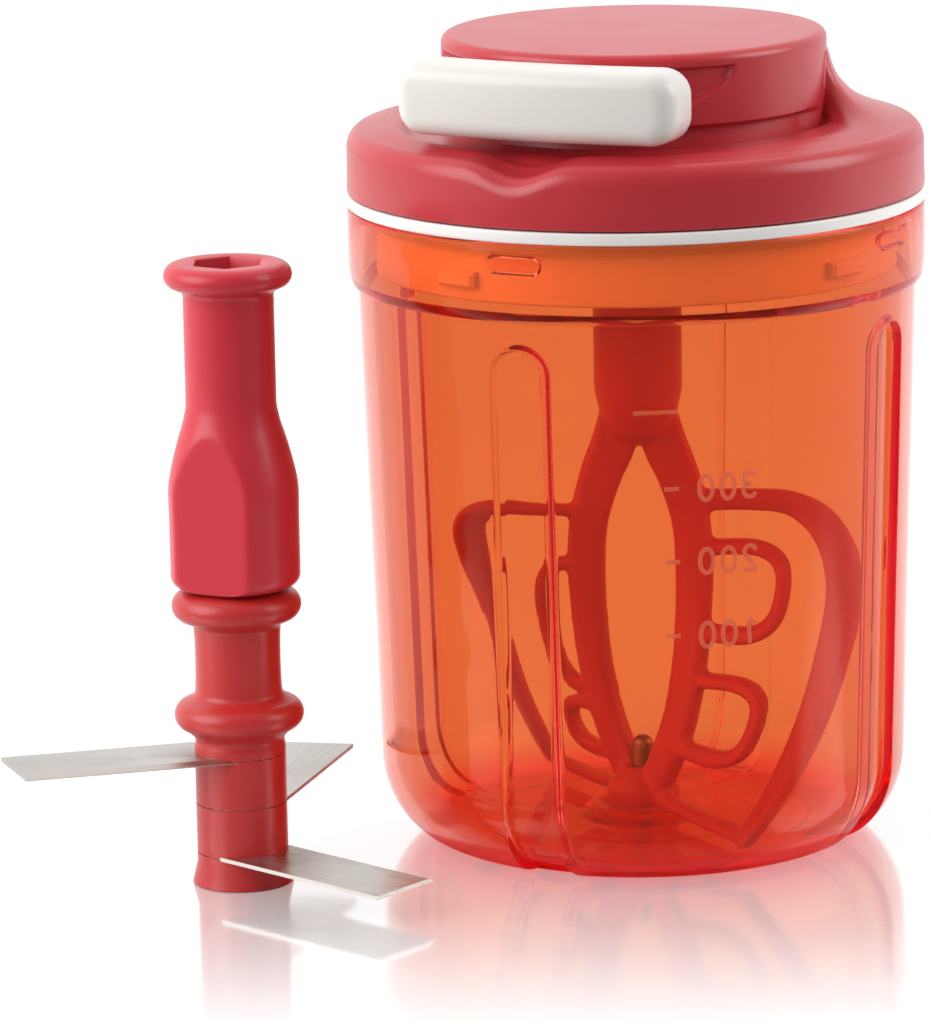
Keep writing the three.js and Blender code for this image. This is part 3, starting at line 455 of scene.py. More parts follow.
def clear_resin(name, thin, thick, deep, rough, wave_mm, deep_mm):
    """Clear moulded resin: tinted where light enters and leaves, and deeper in colour towards the foot."""
    foot_mm, density = 8, 110.0  # height of the thick foot, and absorption for each metre
    clear_share, foot_haze, foot_straight = 0.985, 0.06, 0.22
    deepest_reflection = 2.5  # reflections inside the wall after which a ray goes straight on
    finish, add = new_finish(name)
    place = add("TexCoord").outputs["Object"]
    flow = add("TexNoise", {"Vector": place, "Scale": per_metre(wave_mm), "Detail": 2.0, "Roughness": 0.45})
    clouds = add("Mix", {"Factor": flow, 6: darker(thin, 0.97), 7: thin}, data_type="RGBA")
    height = add("SeparateXYZ", {0: place}).outputs["Z"]
    footward = add("MapRange", {"Value": height, **span(foot_mm * MM, 0.0)}, **SMOOTH)
    tint = add("Mix", {"Factor": footward, 6: clouds, 7: thick}, data_type="RGBA")
    bump = add("Bump", {"Height": flow, "Strength": 0.5, "Distance": deep_mm * MM})
    # A faint haze in the wall, and more of it in the thick foot.
    clear = add("Math", {0: footward, 1: -foot_haze, 2: clear_share}, operation="MULTIPLY_ADD")
    look = {"Base Color": tint, "Roughness": rough, "Normal": bump, "Transmission Weight": clear}
    look.update({"IOR": 1.3, "Specular Tint": (0.45, 0.2, 0.1, 1.0)})
    look.update({"Coat Weight": 0.1, "Coat Roughness": 0.03, "Coat IOR": 1.45})
    glass = add("BsdfPrincipled", look)
    # Lamps shine straight through the wall, so what is inside and the floor behind get coloured light. Rays
    # that the wall has thrown back again and again go straight on too, or they would end black, and so do
    # some of those that meet the foot.
    through = add("BsdfTransparent", {"Color": tint})
    path = add("LightPath").outputs
    caught = add("Math", {0: path["Glossy Depth"], 1: deepest_reflection}, operation="GREATER_THAN")
    murky = add("Math", {0: footward, 1: foot_straight, 2: caught}, operation="MULTIPLY_ADD")
    straight = add("Math", {0: path["Is Shadow Ray"], 1: murky}, operation="MAXIMUM", use_clamp=True)
    shown = add("MixShader", {0: straight, 1: glass, 2: through})
    depth = add("VolumeAbsorption", {"Color": deep, "Density": density})
    add("OutputMaterial", {"Surface": shown, "Volume": depth})
    return finish


def brushed_steel(name, colour, rough, spacing_mm, turn_z=0.0, stretch=40.0, anisotropy=0.5):
    """Rolled, drawn or ground steel: fine lines along the piece spread its highlights across them."""
    stain_mm, line_depth_mm, smoother, rougher = 9, 0.02, 0.08, 0.12
    finish, add = new_finish(name)
    place = add("TexCoord").outputs["Object"]
    laid = {"Vector": place, "Rotation": (0.0, 0.0, turn_z), "Scale": (1.0, stretch, 1.0)}
    along = add("Mapping", laid, vector_type="TEXTURE")
    lines = add("TexNoise", {"Vector": along, "Scale": per_metre(spacing_mm), "Detail": 4.0, "Roughness": 0.65})
    stains = add("TexNoise", {"Vector": place, "Scale": per_metre(stain_mm), "Detail": 2.0, "Roughness": 0.5})
    both = add("Math", {0: lines, 1: stains}, operation="MULTIPLY")
    colours = add("Mix", {"Factor": both, 6: darker(colour, 0.86), 7: colour}, data_type="RGBA")
    low, high = rough - smoother, rough + rougher
    gloss = add("MapRange", {"Value": lines, **span(0.3, 0.7, low, high)})
    bump = add("Bump", {"Height": lines, "Strength": 0.35, "Distance": line_depth_mm * MM})
    look = {"Base Color": colours, "Roughness": gloss, "Normal": bump}
    look.update({"Metallic": 1.0, "Anisotropic": anisotropy})
    add("OutputMaterial", {"Surface": add("BsdfPrincipled", look)})
    return finish


# Bowl


def slot_mask(across, z, width, top, soft=0.5):
    """1 inside an upright slot with an arched top, 0 outside, with a soft edge."""
    centre = top - width / 2
    distance = np.where(z < centre, np.abs(across), np.hypot(across, z - centre)) - width / 2
    return 1 - smoothstep(distance, -soft, soft)


def pill_mask(across, z, half_width, bottom, height, soft=0.4):
    """1 inside a lying pill shape, 0 outside, with a soft edge."""
    straight = half_width - height / 2
    distance = np.hypot(np.maximum(np.abs(across) - straight, 0), z - bottom - height / 2) - height / 2
    return 1 - smoothstep(distance, -soft, soft)


def bowl_mesh(bowl):
    height, wall, top = bowl.height, bowl.wall, bowl.flute_top
    side, neck, collar = bowl.side_radius, bowl.neck_radius, bowl.collar_radius
    collar_bottom, width, depth = bowl.collar_bottom, bowl.flute_width, bowl.flute_depth
    corner_width, corner_height, floor = 13.0, 16.0, 2.8
    rib_depth, rim_round, bore_round, step_height = 1.5, 0.6, 0.4, 4.4
    bore, middle, arch = collar - 2.5, side - corner_width, top - width / 2
    levels = [*np.linspace(corner_height + 6, arch - 2, 9), *np.arange(arch - 1, top + 1.6, 0.2)]

    def side_rows(inset):
        corner = arc(middle, corner_height, (corner_width - inset, corner_height - inset), -90, 0, 20)
        slope = (neck - side) / (collar_bottom - corner_height)
        rows = corner + [(side - inset + slope * (z - corner_height), z) for z in levels]
        return np.array([*rows, (neck - inset, collar_bottom)])

    # Azimuths stand close together over each flute's edges and far apart between flutes.
    edge = np.concatenate([np.arange(-8.1, -6.8, 0.4), np.arange(-6.6, -4.6, 0.15), np.arange(-4.5, 0, 0.3)])
    near = np.degrees(np.concatenate([edge, [0], -edge[::-1]]) / bore)
    far = np.linspace(near[-1], 90 + near[0], 24)[1:-1]
    flutes = degrees(bowl.flute_azimuth) + 90 * np.arange(4)
    azimuths = np.concatenate([f + np.concatenate([near, far]) for f in flutes])
    offset = (azimuths - flutes[0] + 45) % 90 - 45

    def fluted(rows, deeper, slot_width, slot_top, soft):
        rings = []
        for (r, z), (r_in, z_in) in zip(rows, deeper):
            across = r * np.sin(np.radians(offset))
            share = slot_mask(across, z, slot_width, slot_top, soft) * smoothstep(r, middle, middle + 1.5)
            rings.append((r + (r_in - r) * share, z + (z_in - z) * share))
        return rings

    step = collar - neck - 0.9
    outside = fluted(side_rows(0), side_rows(depth), width, top, 0.3)
    inner_rows, rib_rows = side_rows(wall), side_rows(wall + rib_depth)
    inner_rows[:, 1] = np.maximum(inner_rows[:, 1], floor)
    rib_rows[:, 1] = np.maximum(rib_rows[:, 1], floor + 0.3)
    inside = fluted(inner_rows, rib_rows, width + 1, top + 0.5, 1.1)
    lug_bottom, lug_height, lug_half, lug_reach = 111.0, 2.8, bore * sin(radians(6)), 1.2
    lug_levels = np.arange(lug_bottom - 0.6, lug_bottom + 3.6, 0.35)
    across = bore * np.sin(np.radians(offset))
    bore_rings = [
        (bore - lug_reach * pill_mask(across, z, lug_half, lug_bottom, lug_height), z)
        for z in [*np.linspace(collar_bottom + 1.6, lug_bottom - 0.8, 4), *lug_levels, height - bore_round]
    ]
    pedestal, pedestal_foot, pedestal_rise = 14, 5, 1.8
    pedestal_top = floor + pedestal_rise
    disc, stand, bevel, hollow = 20, middle - 4, 0.4, 0.8  # the foot's disc and ring, and the hollow between
    rings = [
        (0, 0), (disc, 0), (disc + bevel, hollow), (stand - bevel, hollow), (stand, 0),
        *outside,
        *arc(collar - step, collar_bottom + step_height, (step, step_height), -90, 0, 8),
        *arc(collar - rim_round, height - rim_round, rim_round, 0, 90, 4),
        *arc(bore + bore_round, height - bore_round, bore_round, 90, 180, 3)[:-1],
        *bore_rings[::-1],
        *inside[::-1],
        *arc(pedestal, pedestal_top, (pedestal_foot, pedestal_rise), -180, -90, 8)[::-1],
        (PIN_BORE, pedestal_top), (PIN_BORE, PIN_SEAT), (0, PIN_SEAT),
    ]
    return around(rings, azimuths)


# The figures' strokes, in shares of a figure's height, from its lower left corner.
ZERO = [(0.3 + 0.28 * cos(a), 0.5 + 0.5 * sin(a)) for a in np.linspace(0, 2 * pi, 17)]
FIGURES = {
    "0": [ZERO],
    "1": [[(0.12, 0.78), (0.34, 1.0), (0.34, 0.0)]],
    "2": [[(0.05, 0.78), (0.12, 0.94), (0.3, 1.0), (0.48, 0.94), (0.55, 0.76), (0.45, 0.52), (0.2, 0.24),
           (0.04, 0.0), (0.58, 0.0)]],
    "3": [[(0.06, 0.84), (0.16, 0.96), (0.32, 1.0), (0.5, 0.92), (0.52, 0.72), (0.42, 0.57), (0.26, 0.54)],
          [(0.26, 0.54), (0.46, 0.48), (0.56, 0.28), (0.48, 0.07), (0.3, 0.0), (0.12, 0.04), (0.04, 0.18)]],
}


def ridge(bowl, stroke, half_width=0.4, height=0.16):
    """A low rounded ridge on the bowl's front wall along a stroke of (sideways, up) points in millimetres."""
    path, tangents = curve_through(stroke, 3 * len(stroke)) if len(stroke) > 2 else (
        np.array(stroke, float), np.array([np.subtract(stroke[1], stroke[0])] * 2, float))
    side, neck, low, high = bowl.side_radius, bowl.neck_radius, 16.0, bowl.collar_bottom
    loops = []
    for (u, v), (du, dv) in zip(path, tangents):
        norm = hypot(du, dv)
        loop = []
        for a in np.radians(np.arange(0, 360, 45)):
            across, out = half_width * cos(a), height * sin(a)
            x, z = u - dv / norm * across, v + du / norm * across
            r = side + (neck - side) * (z - low) / (high - low)
            loop.append(((r + out) * sin(x / r), -(r + out) * cos(x / r), z))
        loops.append(loop)
    return sweep(loops)


def scale_mesh(bowl):
    """The capacity scale: ticks and figures that read the right way round from inside the bowl."""
    tall = bowl.mark_height
    parts = [ridge(bowl, [(-0.9, 87), (6.8, 87.1)])]
    for figures, level in (("300", 73.3), ("200", 60.2), ("100", 46.9)):
        parts.append(ridge(bowl, [(4.3, level), (6.9, level + 0.1)]))
        for place, figure in enumerate(reversed(figures)):
            start = 10.4 + place * tall * 0.93
            for stroke in FIGURES[figure]:
                shape = [(start + (0.6 - u) * tall, level - tall / 2 + v * tall) for u, v in stroke]
                parts.append(ridge(bowl, shape))
    return joined(*parts)


# Lid


def cover_mesh(lid):
    hub, hub_top, hub_round = lid.hub_radius, lid.hub_top, lid.hub_round
    crown, shoulder, ledge = lid.crown, lid.shoulder, lid.ledge
    wall, edge = lid.cover_wall, lid.edge_radius - CLEARANCE / 3
    skirt_top, shoulder_radius, bottom = 126.9, 49.1, 119.2
    rise, run = hub_top - hub_round - shoulder, shoulder_radius - hub
    shares = [(1, 0), (0.8, 0.07), (0.6, 0.15), (0.42, 0.24), (0.27, 0.36), (0.15, 0.5), (0.07, 0.66),
              (0.02, 0.84)]
    flare, _ = curve_through([(hub + run * w, shoulder + rise * h) for w, h in shares], 34)
    skirt = edge - CLEARANCE / 3
    side = [
        *arc(edge - 0.3, bottom + 0.3, 0.3, -90, 0, 3),
        (skirt, skirt_top - 3),
        *arc(shoulder_radius, skirt_top, (skirt - shoulder_radius, shoulder - skirt_top), 0, 90, 12)[:-1],
        *flare,
    ]
    spans = [(0, 42, 1.5), (42, 58, 0.6), (58, 76, 2), (76, 112, 1), (112, 180, 4)]
    half = np.concatenate([np.arange(a, b, s) for a, b, s in spans])
    away = np.concatenate([-half[:0:-1], half, [180]])
    azimuths, signed, away = away + PULL_AZIMUTH, away, np.abs(away)

    lip = 3.4  # radius of the rounded lip over which the scoop runs out
    pocket_end, groove, groove_end, channel_depth, edge_round = 102.5, 45, 37, 1.3, 0.35
    scoop_half, finger_half, scoop_start, scoop_full = 24, 12, 37.5, 49

    def wave(across, half_width):
        return np.where(np.abs(across) < half_width, (1 + np.cos(np.pi * across / half_width)) / 2, 0)

    def height(r, z):
        """The height of the cover's face where the plain bell would be at r, z."""
        if z < skirt_top:
            return np.full(len(azimuths), z)
        across = r * np.sin(np.radians(signed))
        # The pocket and the groove beside the hub both narrow towards their ends.
        out = min(max(r - hub, 0), 14)
        end, slope = pocket_end - 1.1 * out, 4 + 0.75 * out
        open_share = 1 - smoothstep(away, end - slope, end + slope)
        groove_edge = groove - (groove - groove_end) * smoothstep(away, 35, 92)
        channel = channel_depth * (1 - smoothstep(r - groove_edge, -2.5, 0))
        dip = lid.scoop_depth * wave(across, scoop_half) + lid.finger_depth * wave(across, finger_half)
        past = min(max((r - skirt) / lip + 1, 0), 1)
        rounding = lip * (1 - sqrt(1 - past * past))
        floor = ledge - channel - rounding - dip * smoothstep(r, scoop_start, scoop_full) * (away < 90)
        # A rounded edge where the pocket's floor meets the bell.
        lowered = np.minimum(z, floor) - edge_round * np.exp(-((z - floor) ** 2) / 0.5)
        lowered = np.where(z - floor < -1.6, z, lowered)
        return z + (lowered - z) * open_share

    rings = [(r, height(r, z)) for r, z in side]
    foot_z = rings[-1][1]
    seat_low, seat_high, seat_half, seat_depth = 134.8, 144.8, 28.4, 1.3  # where the handle rests
    undercut_depth, undercut_top, far = 1.9, 134.6, 9
    steps = [(0, 0.72), (0.2, 0.755), (0.38, 0.81), (0.52, 0.88), (0.64, 0.945), (0.78, 0.985), (1, 1)]
    for t in [0, 0.03, 0.1, 0.17, 0.2, 0.215, 0.23, 0.245, *np.linspace(0.26, 1, 34)]:
        z = foot_z + (hub_top - hub_round - foot_z) * t
        r = side[-1][0] + (hub - side[-1][0]) * min(1, t / 0.2) * np.ones(len(azimuths))
        under = (1 - smoothstep(z, undercut_top - 0.7, undercut_top)) * (1 - smoothstep(away, 86, 98))
        across = hub * np.sin(np.radians(signed))
        half_width = seat_half * np.interp((z - seat_low) / (seat_high - seat_low), *zip(*steps))
        beside = np.maximum(np.abs(across) - half_width, np.maximum(seat_low - z, z - seat_high))
        beside = np.where(away < 90, beside, far)
        seat = seat_depth * (1 - smoothstep(beside, -0.7, 0.3))
        rings.append((r - np.maximum(undercut_depth * under, seat), z))
    rings += arc(hub - hub_round, hub_top - hub_round, hub_round, 0, 90, 8)[1:]
    flat = hub - hub_round
    rings += [(flat * s, hub_top + crown * (1 - s * s)) for s in (0.97, 0.9, 0.75, 0.5, 0.25)]
    full = [(np.broadcast_to(r, len(azimuths)), np.broadcast_to(z, len(azimuths))) for r, z in rings]
    inner = [(np.maximum(r - wall, 0.5), z - wall) for r, z in full[4:]]
    middle = [(0, hub_top + crown), (0, hub_top + crown - wall)]
    return around([*full, *middle, *inner[::-1], (edge - wall, bottom + 0.1)], azimuths, ring=True)


def base_mesh(lid):
    """The lid base's turned body: white edge, plug skirt, inner boss and upstands."""
    radius, bottom, edge_round, low_round = lid.edge_radius, BOWL_TOP + CLEARANCE, 0.4, 0.6
    spindle, bush_wall = 5.9, 1.4
    top, web, hole = bottom + 2.2, bottom + 0.7, spindle + bush_wall + CLEARANCE
    skirt, skirt_wall, skirt_low = 46.9, 2.0, bottom - 11.6
    boss, boss_wall, boss_low = 15.4, 2.4, bottom - 13.2
    rim, rim_out, rim_top = 47, 48.8, top + 3.5  # the upstand that the cover sits round
    tube, tube_top = 10, top + 7.2  # and the one round the spindle's bush
    lower_edge = bottom + edge_round
    upper_edge = top - edge_round
    profile = [
        (hole, web), (boss - boss_wall, web), (boss - boss_wall, boss_low + 0.3),
        *arc(boss - low_round, boss_low + low_round, low_round, -90, 0, 3),
        (boss, bottom - 1), *arc(boss + 1, bottom - 1, 1, 180, 90, 4),
        (skirt - skirt_wall, bottom), (skirt - skirt_wall, skirt_low + 0.3),
        *arc(skirt - low_round, skirt_low + low_round, low_round, -90, 0, 3),
        (skirt, bottom), *arc(radius - edge_round, lower_edge, edge_round, -90, 0, 4),
        *arc(radius - edge_round, upper_edge, edge_round, 0, 90, 4),
        (rim_out, top), (rim_out, rim_top), (rim, rim_top), (rim, top),
        (tube, top), (tube, tube_top), (hole, tube_top),
    ]
    return turned(profile, ring=True)


def block(inner, outer, middle, half_angle, bottom, top, bevel=0.5, steps=12):
    """A curved block with rounded outer edges, standing round the axis."""
    loops = []
    for i in range(steps + 1):
        share = 2 * i / steps - 1
        a = radians(middle + half_angle * share)
        reach = outer - bevel * max(0, abs(share) - 0.85) / 0.15
        section = [
            (inner, bottom), (reach - bevel, bottom), (reach, bottom + bevel),
            (reach, top - bevel), (reach - bevel, top), (inner, top),
        ]
        loops.append([(r * sin(a), -r * cos(a), z) for r, z in section])
    return sweep(loops)


def screw_recess(node):
    """What a lid screw's head and thread take out of the lid base."""
    head, thread, low, step, high = 3, 1.3, BOWL_TOP - 1, BOWL_TOP + 1.5, BOWL_TOP + 4
    profile = [(0, low), (head, low), (head, step), (thread, step), (thread, high), (0, high)]
    return moved(turned(profile, 32), over(node))


# Pull handle


def handle_mesh(handle):
    """A bowed bar: rounded rectangles run round its edges, and strips from top to bottom close its faces."""
    half_x, half_z = handle.length / 2, handle.height / 2
    thick, back, bow = handle.thickness, handle.back, handle.front_curve
    corner, edge = handle.corner, handle.edge
    middle_z = handle.bottom + half_z
    straight, quarter = 36, 9  # steps along a long side, and points round a corner

    def ring(inset, depth):
        """The outline at an inset and at a depth behind the front face, bowed in plan."""
        x, z = half_x - inset, half_z - inset
        radius = max(corner - inset, edge / 4)
        outline = []
        for sign_x, sign_z, start in ((1, 1, 0), (-1, 1, 90), (-1, -1, 180), (1, -1, 270)):
            cx, cz = sign_x * (x - radius), sign_z * (z - radius)
            outline += arc(cx, cz, radius, start, start + 90, quarter - 1)
            if start in (0, 180):
                outline += [(cx - 2 * cx * t, sign_z * z) for t in np.linspace(0, 1, straight + 1)[1:-1]]
        curve = bow - depth
        return [(u, bow - back - thick - sqrt(curve * curve - u * u), middle_z + v) for u, v in outline]

    quarter_turn = np.radians(np.linspace(90, 0, 10))
    loops = [ring(edge - edge * cos(a), edge - edge * sin(a)) for a in quarter_turn]
    loops += [ring(edge - edge * cos(a), thick - edge + edge * sin(a)) for a in quarter_turn[::-1]]
    count, top = len(loops[0]), 2 * quarter + straight - 2
    vertices, faces = sweep(loops)
    faces = faces[:-2]  # its two ends, which strips take the place of
    last = (len(loops) - 1) * count
    for k in range(top):
        strip = (k, k + 1, count - 2 - k, count - 1 - k)
        faces.append(strip[::-1])
        faces.append(tuple(last + i for i in strip))
    return moved((vertices, faces), TO_PULL)


# Whisk

# Each bar's points: across and up, in shares of the wing's reach and of the top arms' height, and the bar's
# width, in shares of the main bars' width. A loop's height is 0 at its lower arm and 1 at its upper arm.
LEG = [(0.088, 1.218, 1.1), (0.112, 1.139, 1.25), (0.171, 1.044, 1.18), (0.224, 0.918, 1.09),
       (0.243, 0.791, 1.07), (0.249, 0.633, 1.03), (0.246, 0.475, 1.02), (0.225, 0.345, 1.06),
       (0.175, 0.237, 1.1), (0.11, 0.15, 1.1)]
RIGHT_WING = [(0.22, 0.967, 0.6), (0.5, 0.967, 0.6), (0.68, 0.953, 0.68), (0.83, 0.885, 0.92),
              (0.916, 0.76, 1.02), (0.926, 0.56, 1), (0.926, 0.34, 0.92), (0.9, 0.16, 0.78),
              (0.86, 0.075, 0.66)]
LEFT_WING = [(0.22, 0.94, 0.36), (0.52, 0.945, 0.36), (0.74, 0.95, 0.5), (0.86, 0.905, 0.9),
             (0.86, 0.78, 0.92), (0.83, 0.64, 0.7), (0.84, 0.48, 0.58), (0.89, 0.27, 0.52),
             (0.93, 0.08, 0.46)]
LOW_ARM = [(0.12, 0.11, 0.42), (0.4, 0.094, 0.38), (0.84, 0.092, 0.38)]
LOOP = [(0.24, 1, 0.42), (0.54, 1, 0.42), (0.63, 0.84, 0.44), (0.65, 0.5, 0.44), (0.62, 0.16, 0.46),
        (0.53, 0, 0.48), (0.22, 0, 0.48)]
RIGHT_LOOPS = [(0.832, 0.6), (0.46, 0.262)]
LEFT_LOOPS = [(0.77, 0.4), (0.335, 0.2)]


def whisk_bar(whisk, shares, reach, depth, steps):
    """One bar of the whisk, its section rounded, laid in the flat frame and then twisted with it."""
    level, twist = whisk.twist_level, whisk.twist
    points = [(r * reach, z * whisk.arm_height, w * whisk.arm_width) for r, z, w in shares]
    path, tangents = curve_through(points, steps)
    loops = []
    for (r, z, width), (dr, dz, _) in zip(path, tangents):
        norm = hypot(dr, dz)
        dr, dz = dr / norm, dz / norm
        loop = []
        for a in np.radians(np.arange(0, 360, 360 / 16)):
            # A squarish round: between a rectangle with round corners and an ellipse.
            c, s = cos(a), sin(a)
            side = width / 2 * copysign(abs(c) ** 0.6, c)
            across = depth / 2 * copysign(abs(s) ** 0.6, s)
            pr, pz = r - dz * side, z + dr * side
            angle = max(0, (level - pz) / level) * twist
            loop.append((pr * cos(angle) + across * sin(angle), -pr * sin(angle) + across * cos(angle), pz))
        loops.append(loop)
    return sweep(loops)


def drive_end(insert, top, below):
    """The shared drive end: the rings below, then the flange, then the six-sided socket."""
    bead, round_in, shaft = insert.flange_bead, 1.2, insert.shaft_radius
    azimuths = spread(INSERT_STEPS)
    apothem = insert.socket_corner * cos(radians(30))
    hexagon = apothem / np.cos(np.radians(azimuths % 60 - 30))
    end = top - insert.socket_depth
    rings = [
        *below,
        *arc(shaft + round_in, top - 2 * bead - 1.6, (round_in, 1.4), 180, 105, 4),
        *arc(insert.flange_radius - bead, top - bead, bead, -70, 90, 12),
        (hexagon + 0.5, top), (hexagon + 0.12, top - 0.15), (hexagon, top - 0.5), (hexagon, end), (0, end),
    ]
    return around(rings, azimuths)


def whisk_pieces(whisk, insert, bottom, top):
    right, left = whisk.reach_right, whisk.reach_left
    deep, thin = whisk.thickness, whisk.wing_thickness
    tip = [(0, 71.5), (2.5, 72), (5, 74), (7, 77.5), (insert.shaft_radius, 82)]  # between the legs
    foot = [(0, bottom), *arc(6, bottom + 0.6, 0.6, -90, 0, 3), (6.6, 8.2), (3.4, 11.6), (0, 11.6)]
    parts = [drive_end(insert, top, tip), turned(foot, 72)]
    for side, reach, wing, loops in ((1, right, RIGHT_WING, RIGHT_LOOPS), (-1, left, LEFT_WING, LEFT_LOOPS)):
        parts.append(whisk_bar(whisk, LEG, side * right, deep, 60))
        parts.append(whisk_bar(whisk, wing, side * reach, thin, 90))
        parts.append(whisk_bar(whisk, LOW_ARM, side * reach, thin, 24))
        for high, low in loops:
            shares = [(r * (1 if side > 0 else 0.82), low + (high - low) * h, w) for r, h, w in LOOP]
            parts.append(whisk_bar(whisk, shares, side * reach, thin, 60))
    return parts


# Blade insert


def grip_mesh(insert, top):
    radius, shaft, bead = insert.grip_radius, insert.shaft_radius, insert.flange_bead
    bottom, widest, shoulder, lower_round = 54.0, 66.0, 86.0, 2.2
    bore_top = bottom + 8 + CLEARANCE
    shares = [(1, 0), (1, 0.3), (0.86, 0.45), (0.5, 0.7), (0.18, 0.88), (0.03, 1)]
    run, rise = radius - shaft, shoulder - widest
    flare, _ = curve_through([(shaft + run * w, widest + rise * h) for w, h in shares], 40)
    plain = [
        *arc(radius - lower_round, bottom + lower_round, lower_round, -90, 0, 8),
        *[(radius, z) for z in np.linspace(bottom + lower_round + 0.4, widest - 0.4, 14)],
        *flare,
        *[(shaft, z) for z in np.linspace(shoulder + 1, top - 2 * bead - 3, 5)],
    ]
    offset = (spread(INSERT_STEPS) - PULL_AZIMUTH + 90) % 180 - 90
    plane = insert.face / np.maximum(np.cos(np.radians(offset)), 0.2)
    soft = 0.25  # how far the edge between the flat face and the round is softened
    rings = [(0, bore_top), (CORE_BORE, bore_top), (CORE_BORE, bottom)]
    for r, z in plain:
        gap = np.clip((plane - r) / soft, -1, 1)
        rings.append((np.minimum(r, plane) - soft * (1 - np.abs(gap)) ** 2 / 4, z))
    return drive_end(insert, top, rings)


def neck_mesh(insert):
    radius, ring, skin = insert.neck_radius, insert.ring_radius, insert.spacer_radius + SKIN
    bead, upper, lower, bottom, top = 2.7, 50.6, 30.8, 24.4, 53.7
    middle = ring - bead
    outline = [
        (skin, bottom - LAP), (skin, lower - bead - 3.1),
        (radius + 0.25 * (middle - radius), lower - bead - 1.6),
        *arc(middle, lower, bead, -70, 75, 10),
        (radius + 0.25, lower + bead + 1.0), (radius, lower + bead + 2.4),
        (radius, upper - bead - 2.0), (radius + 0.2, upper - bead - 0.9),
        *arc(middle, upper, bead, -75, 75, 10),
        (middle - 0.6, top - 0.3), (middle - 1.4, top),
    ]
    smooth, _ = curve_through(outline, 120)
    lapped = [(insert.spacer_radius, bottom), (insert.spacer_radius, bottom - LAP)]
    return turned([(CORE_BORE, bottom), *lapped, *smooth, (CORE_BORE, top)], INSERT_STEPS, ring=True)


def spacer_mesh(insert, bottom, top, laps_down=True):
    """A tube whose outer skin laps over the rims of the blades that it holds."""
    radius, edge = insert.spacer_radius, 0.06
    skin, high, low = radius + SKIN, top + LAP, bottom - LAP
    foot = [(radius, bottom), (radius, low), (skin - edge, low), (skin, low + edge)]
    if not laps_down:
        foot = [(skin + 0.7, bottom), (skin + 0.9, bottom + 0.2), (skin, bottom + 4)]
    rim = [(skin, high - edge), (skin - edge, high), (radius, high), (radius, top)]
    return turned([(CORE_BORE, bottom), *foot, *rim, (CORE_BORE, top)], INSERT_STEPS, ring=True)


# Operators


class MakeBowl(bpy.types.Operator):
    """Builds the clear bowl with its flutes and lugs, the scale on its wall and its centre pin."""

    bl_idname = "chopper.make_bowl"
    bl_label = "Bowl"

    def execute(self, context):
        bowl = in_mm(context.scene.chopper_bowl)
        # Transparent styrene resin, moulded and polished: the wall tints what is behind it orange, and its
        # thick foot, lugs and flute edges turn a deeper red.
        colours = bowl.resin, bowl.foot_resin, bowl.deep_resin
        resin = clear_resin("Clear orange SAN, moulded", *colours, rough=0.02, wave_mm=14, deep_mm=0.01)
        fit_out(new_object("clear_bowl", bowl_mesh(bowl), 28), "bowl", "clear_orange", resin, "bowl")
        # The same resin with a frosted skin, so the ridges of the scale look paler than the wall.
        pale = {"Transmission Weight": 0.6, "Alpha": 0.55}
        name = "Frosted orange SAN, raised marks"
        frosted = moulded_plastic(name, bowl.frosted, rough=0.5, grain_mm=0.4, deep_mm=0.01, extra=pale)
        fit_out(new_object("capacity_scale", scale_mesh(bowl)), "bowl", "clear_orange", frosted)
        # Turned stainless rod: rings from turning, and a bright rounded tip.
        rod = brushed_steel(
            "Stainless rod, turned", linear("#A38C90"), rough=0.34, spacing_mm=0.08, stretch=1.0
        )
        low, tip = PIN_SEAT + CLEARANCE, PIN_TOP - PIN_RADIUS
        pin = [(0, low), (PIN_RADIUS, low), *arc(0, tip, PIN_RADIUS, 0, 90, 10)[:-1], (0, PIN_TOP)]
        fit_out(new_object("centre_pin", turned(pin, 48)), "bowl", "steel", rod, "pivot_pin")
        return {"FINISHED"}


class MakeLid(bpy.types.Operator):
    """Builds the lid cover, the lid base with its tabs and screw recesses, and the seal."""

    bl_idname = "chopper.make_lid"
    bl_label = "Lid"

    def execute(self, context):
        lid = in_mm(context.scene.chopper_lid)
        # Polypropylene from a finely etched mould: a soft wide sheen, so the top looks paler.
        red = moulded_plastic(
            "Red polypropylene, satin moulded", lid.red, rough=0.306, grain_mm=2.4, deep_mm=0.01, tone=0.9
        )
        fit_out(new_object("lid_bell", cover_mesh(lid), 40), "lid", "red_gloss", red, "lid_cover")
        # White polypropylene with a smoother skin, which gives the edge ring a clean bright line.
        white = moulded_plastic(
            "White polypropylene, moulded", lid.white, rough=0.31, grain_mm=0.6, deep_mm=0.006, tone=0.96
        )
        base = new_object("lid_plug", base_mesh(lid), 40)
        recesses = [new_object("recess", screw_recess(screw)) for screw in SCREWS]
        cut_away(base, recesses, 40)
        fit_out(base, "lid", "white", white, "lid_base")
        tab_in, tab_out, low, high = 46.5, 48.6, BOWL_TOP - 8.9, BOWL_TOP - 6.1
        half_angle, past_flute = 5, 15
        first = degrees(context.scene.chopper_bowl.flute_azimuth) - past_flute
        tabs = [block(tab_in, tab_out, first + turn, half_angle, low, high) for turn in (0, 90, 180, 270)]
        fit_out(new_object("lid_tabs", joined(*tabs)), "lid", "white", white)
        # Moulded silicone: matt, slightly milky, with a faint dust-holding texture.
        rubber = moulded_plastic(
            "Silicone, moulded", lid.seal, rough=0.62, grain_mm=0.5, deep_mm=0.01, tone=0.94, scatter=0.15
        )
        seal_in, seal_out, thickness = 46.9 + CLEARANCE, 49.4 - CLEARANCE, 2
        ring = turned(tube_profile(seal_in, seal_out, BOWL_TOP - thickness, BOWL_TOP), ring=True)
        fit_out(new_object("lid_seal_ring", ring), "seal", "silicone", rubber, "lid_seal")
        return {"FINISHED"}


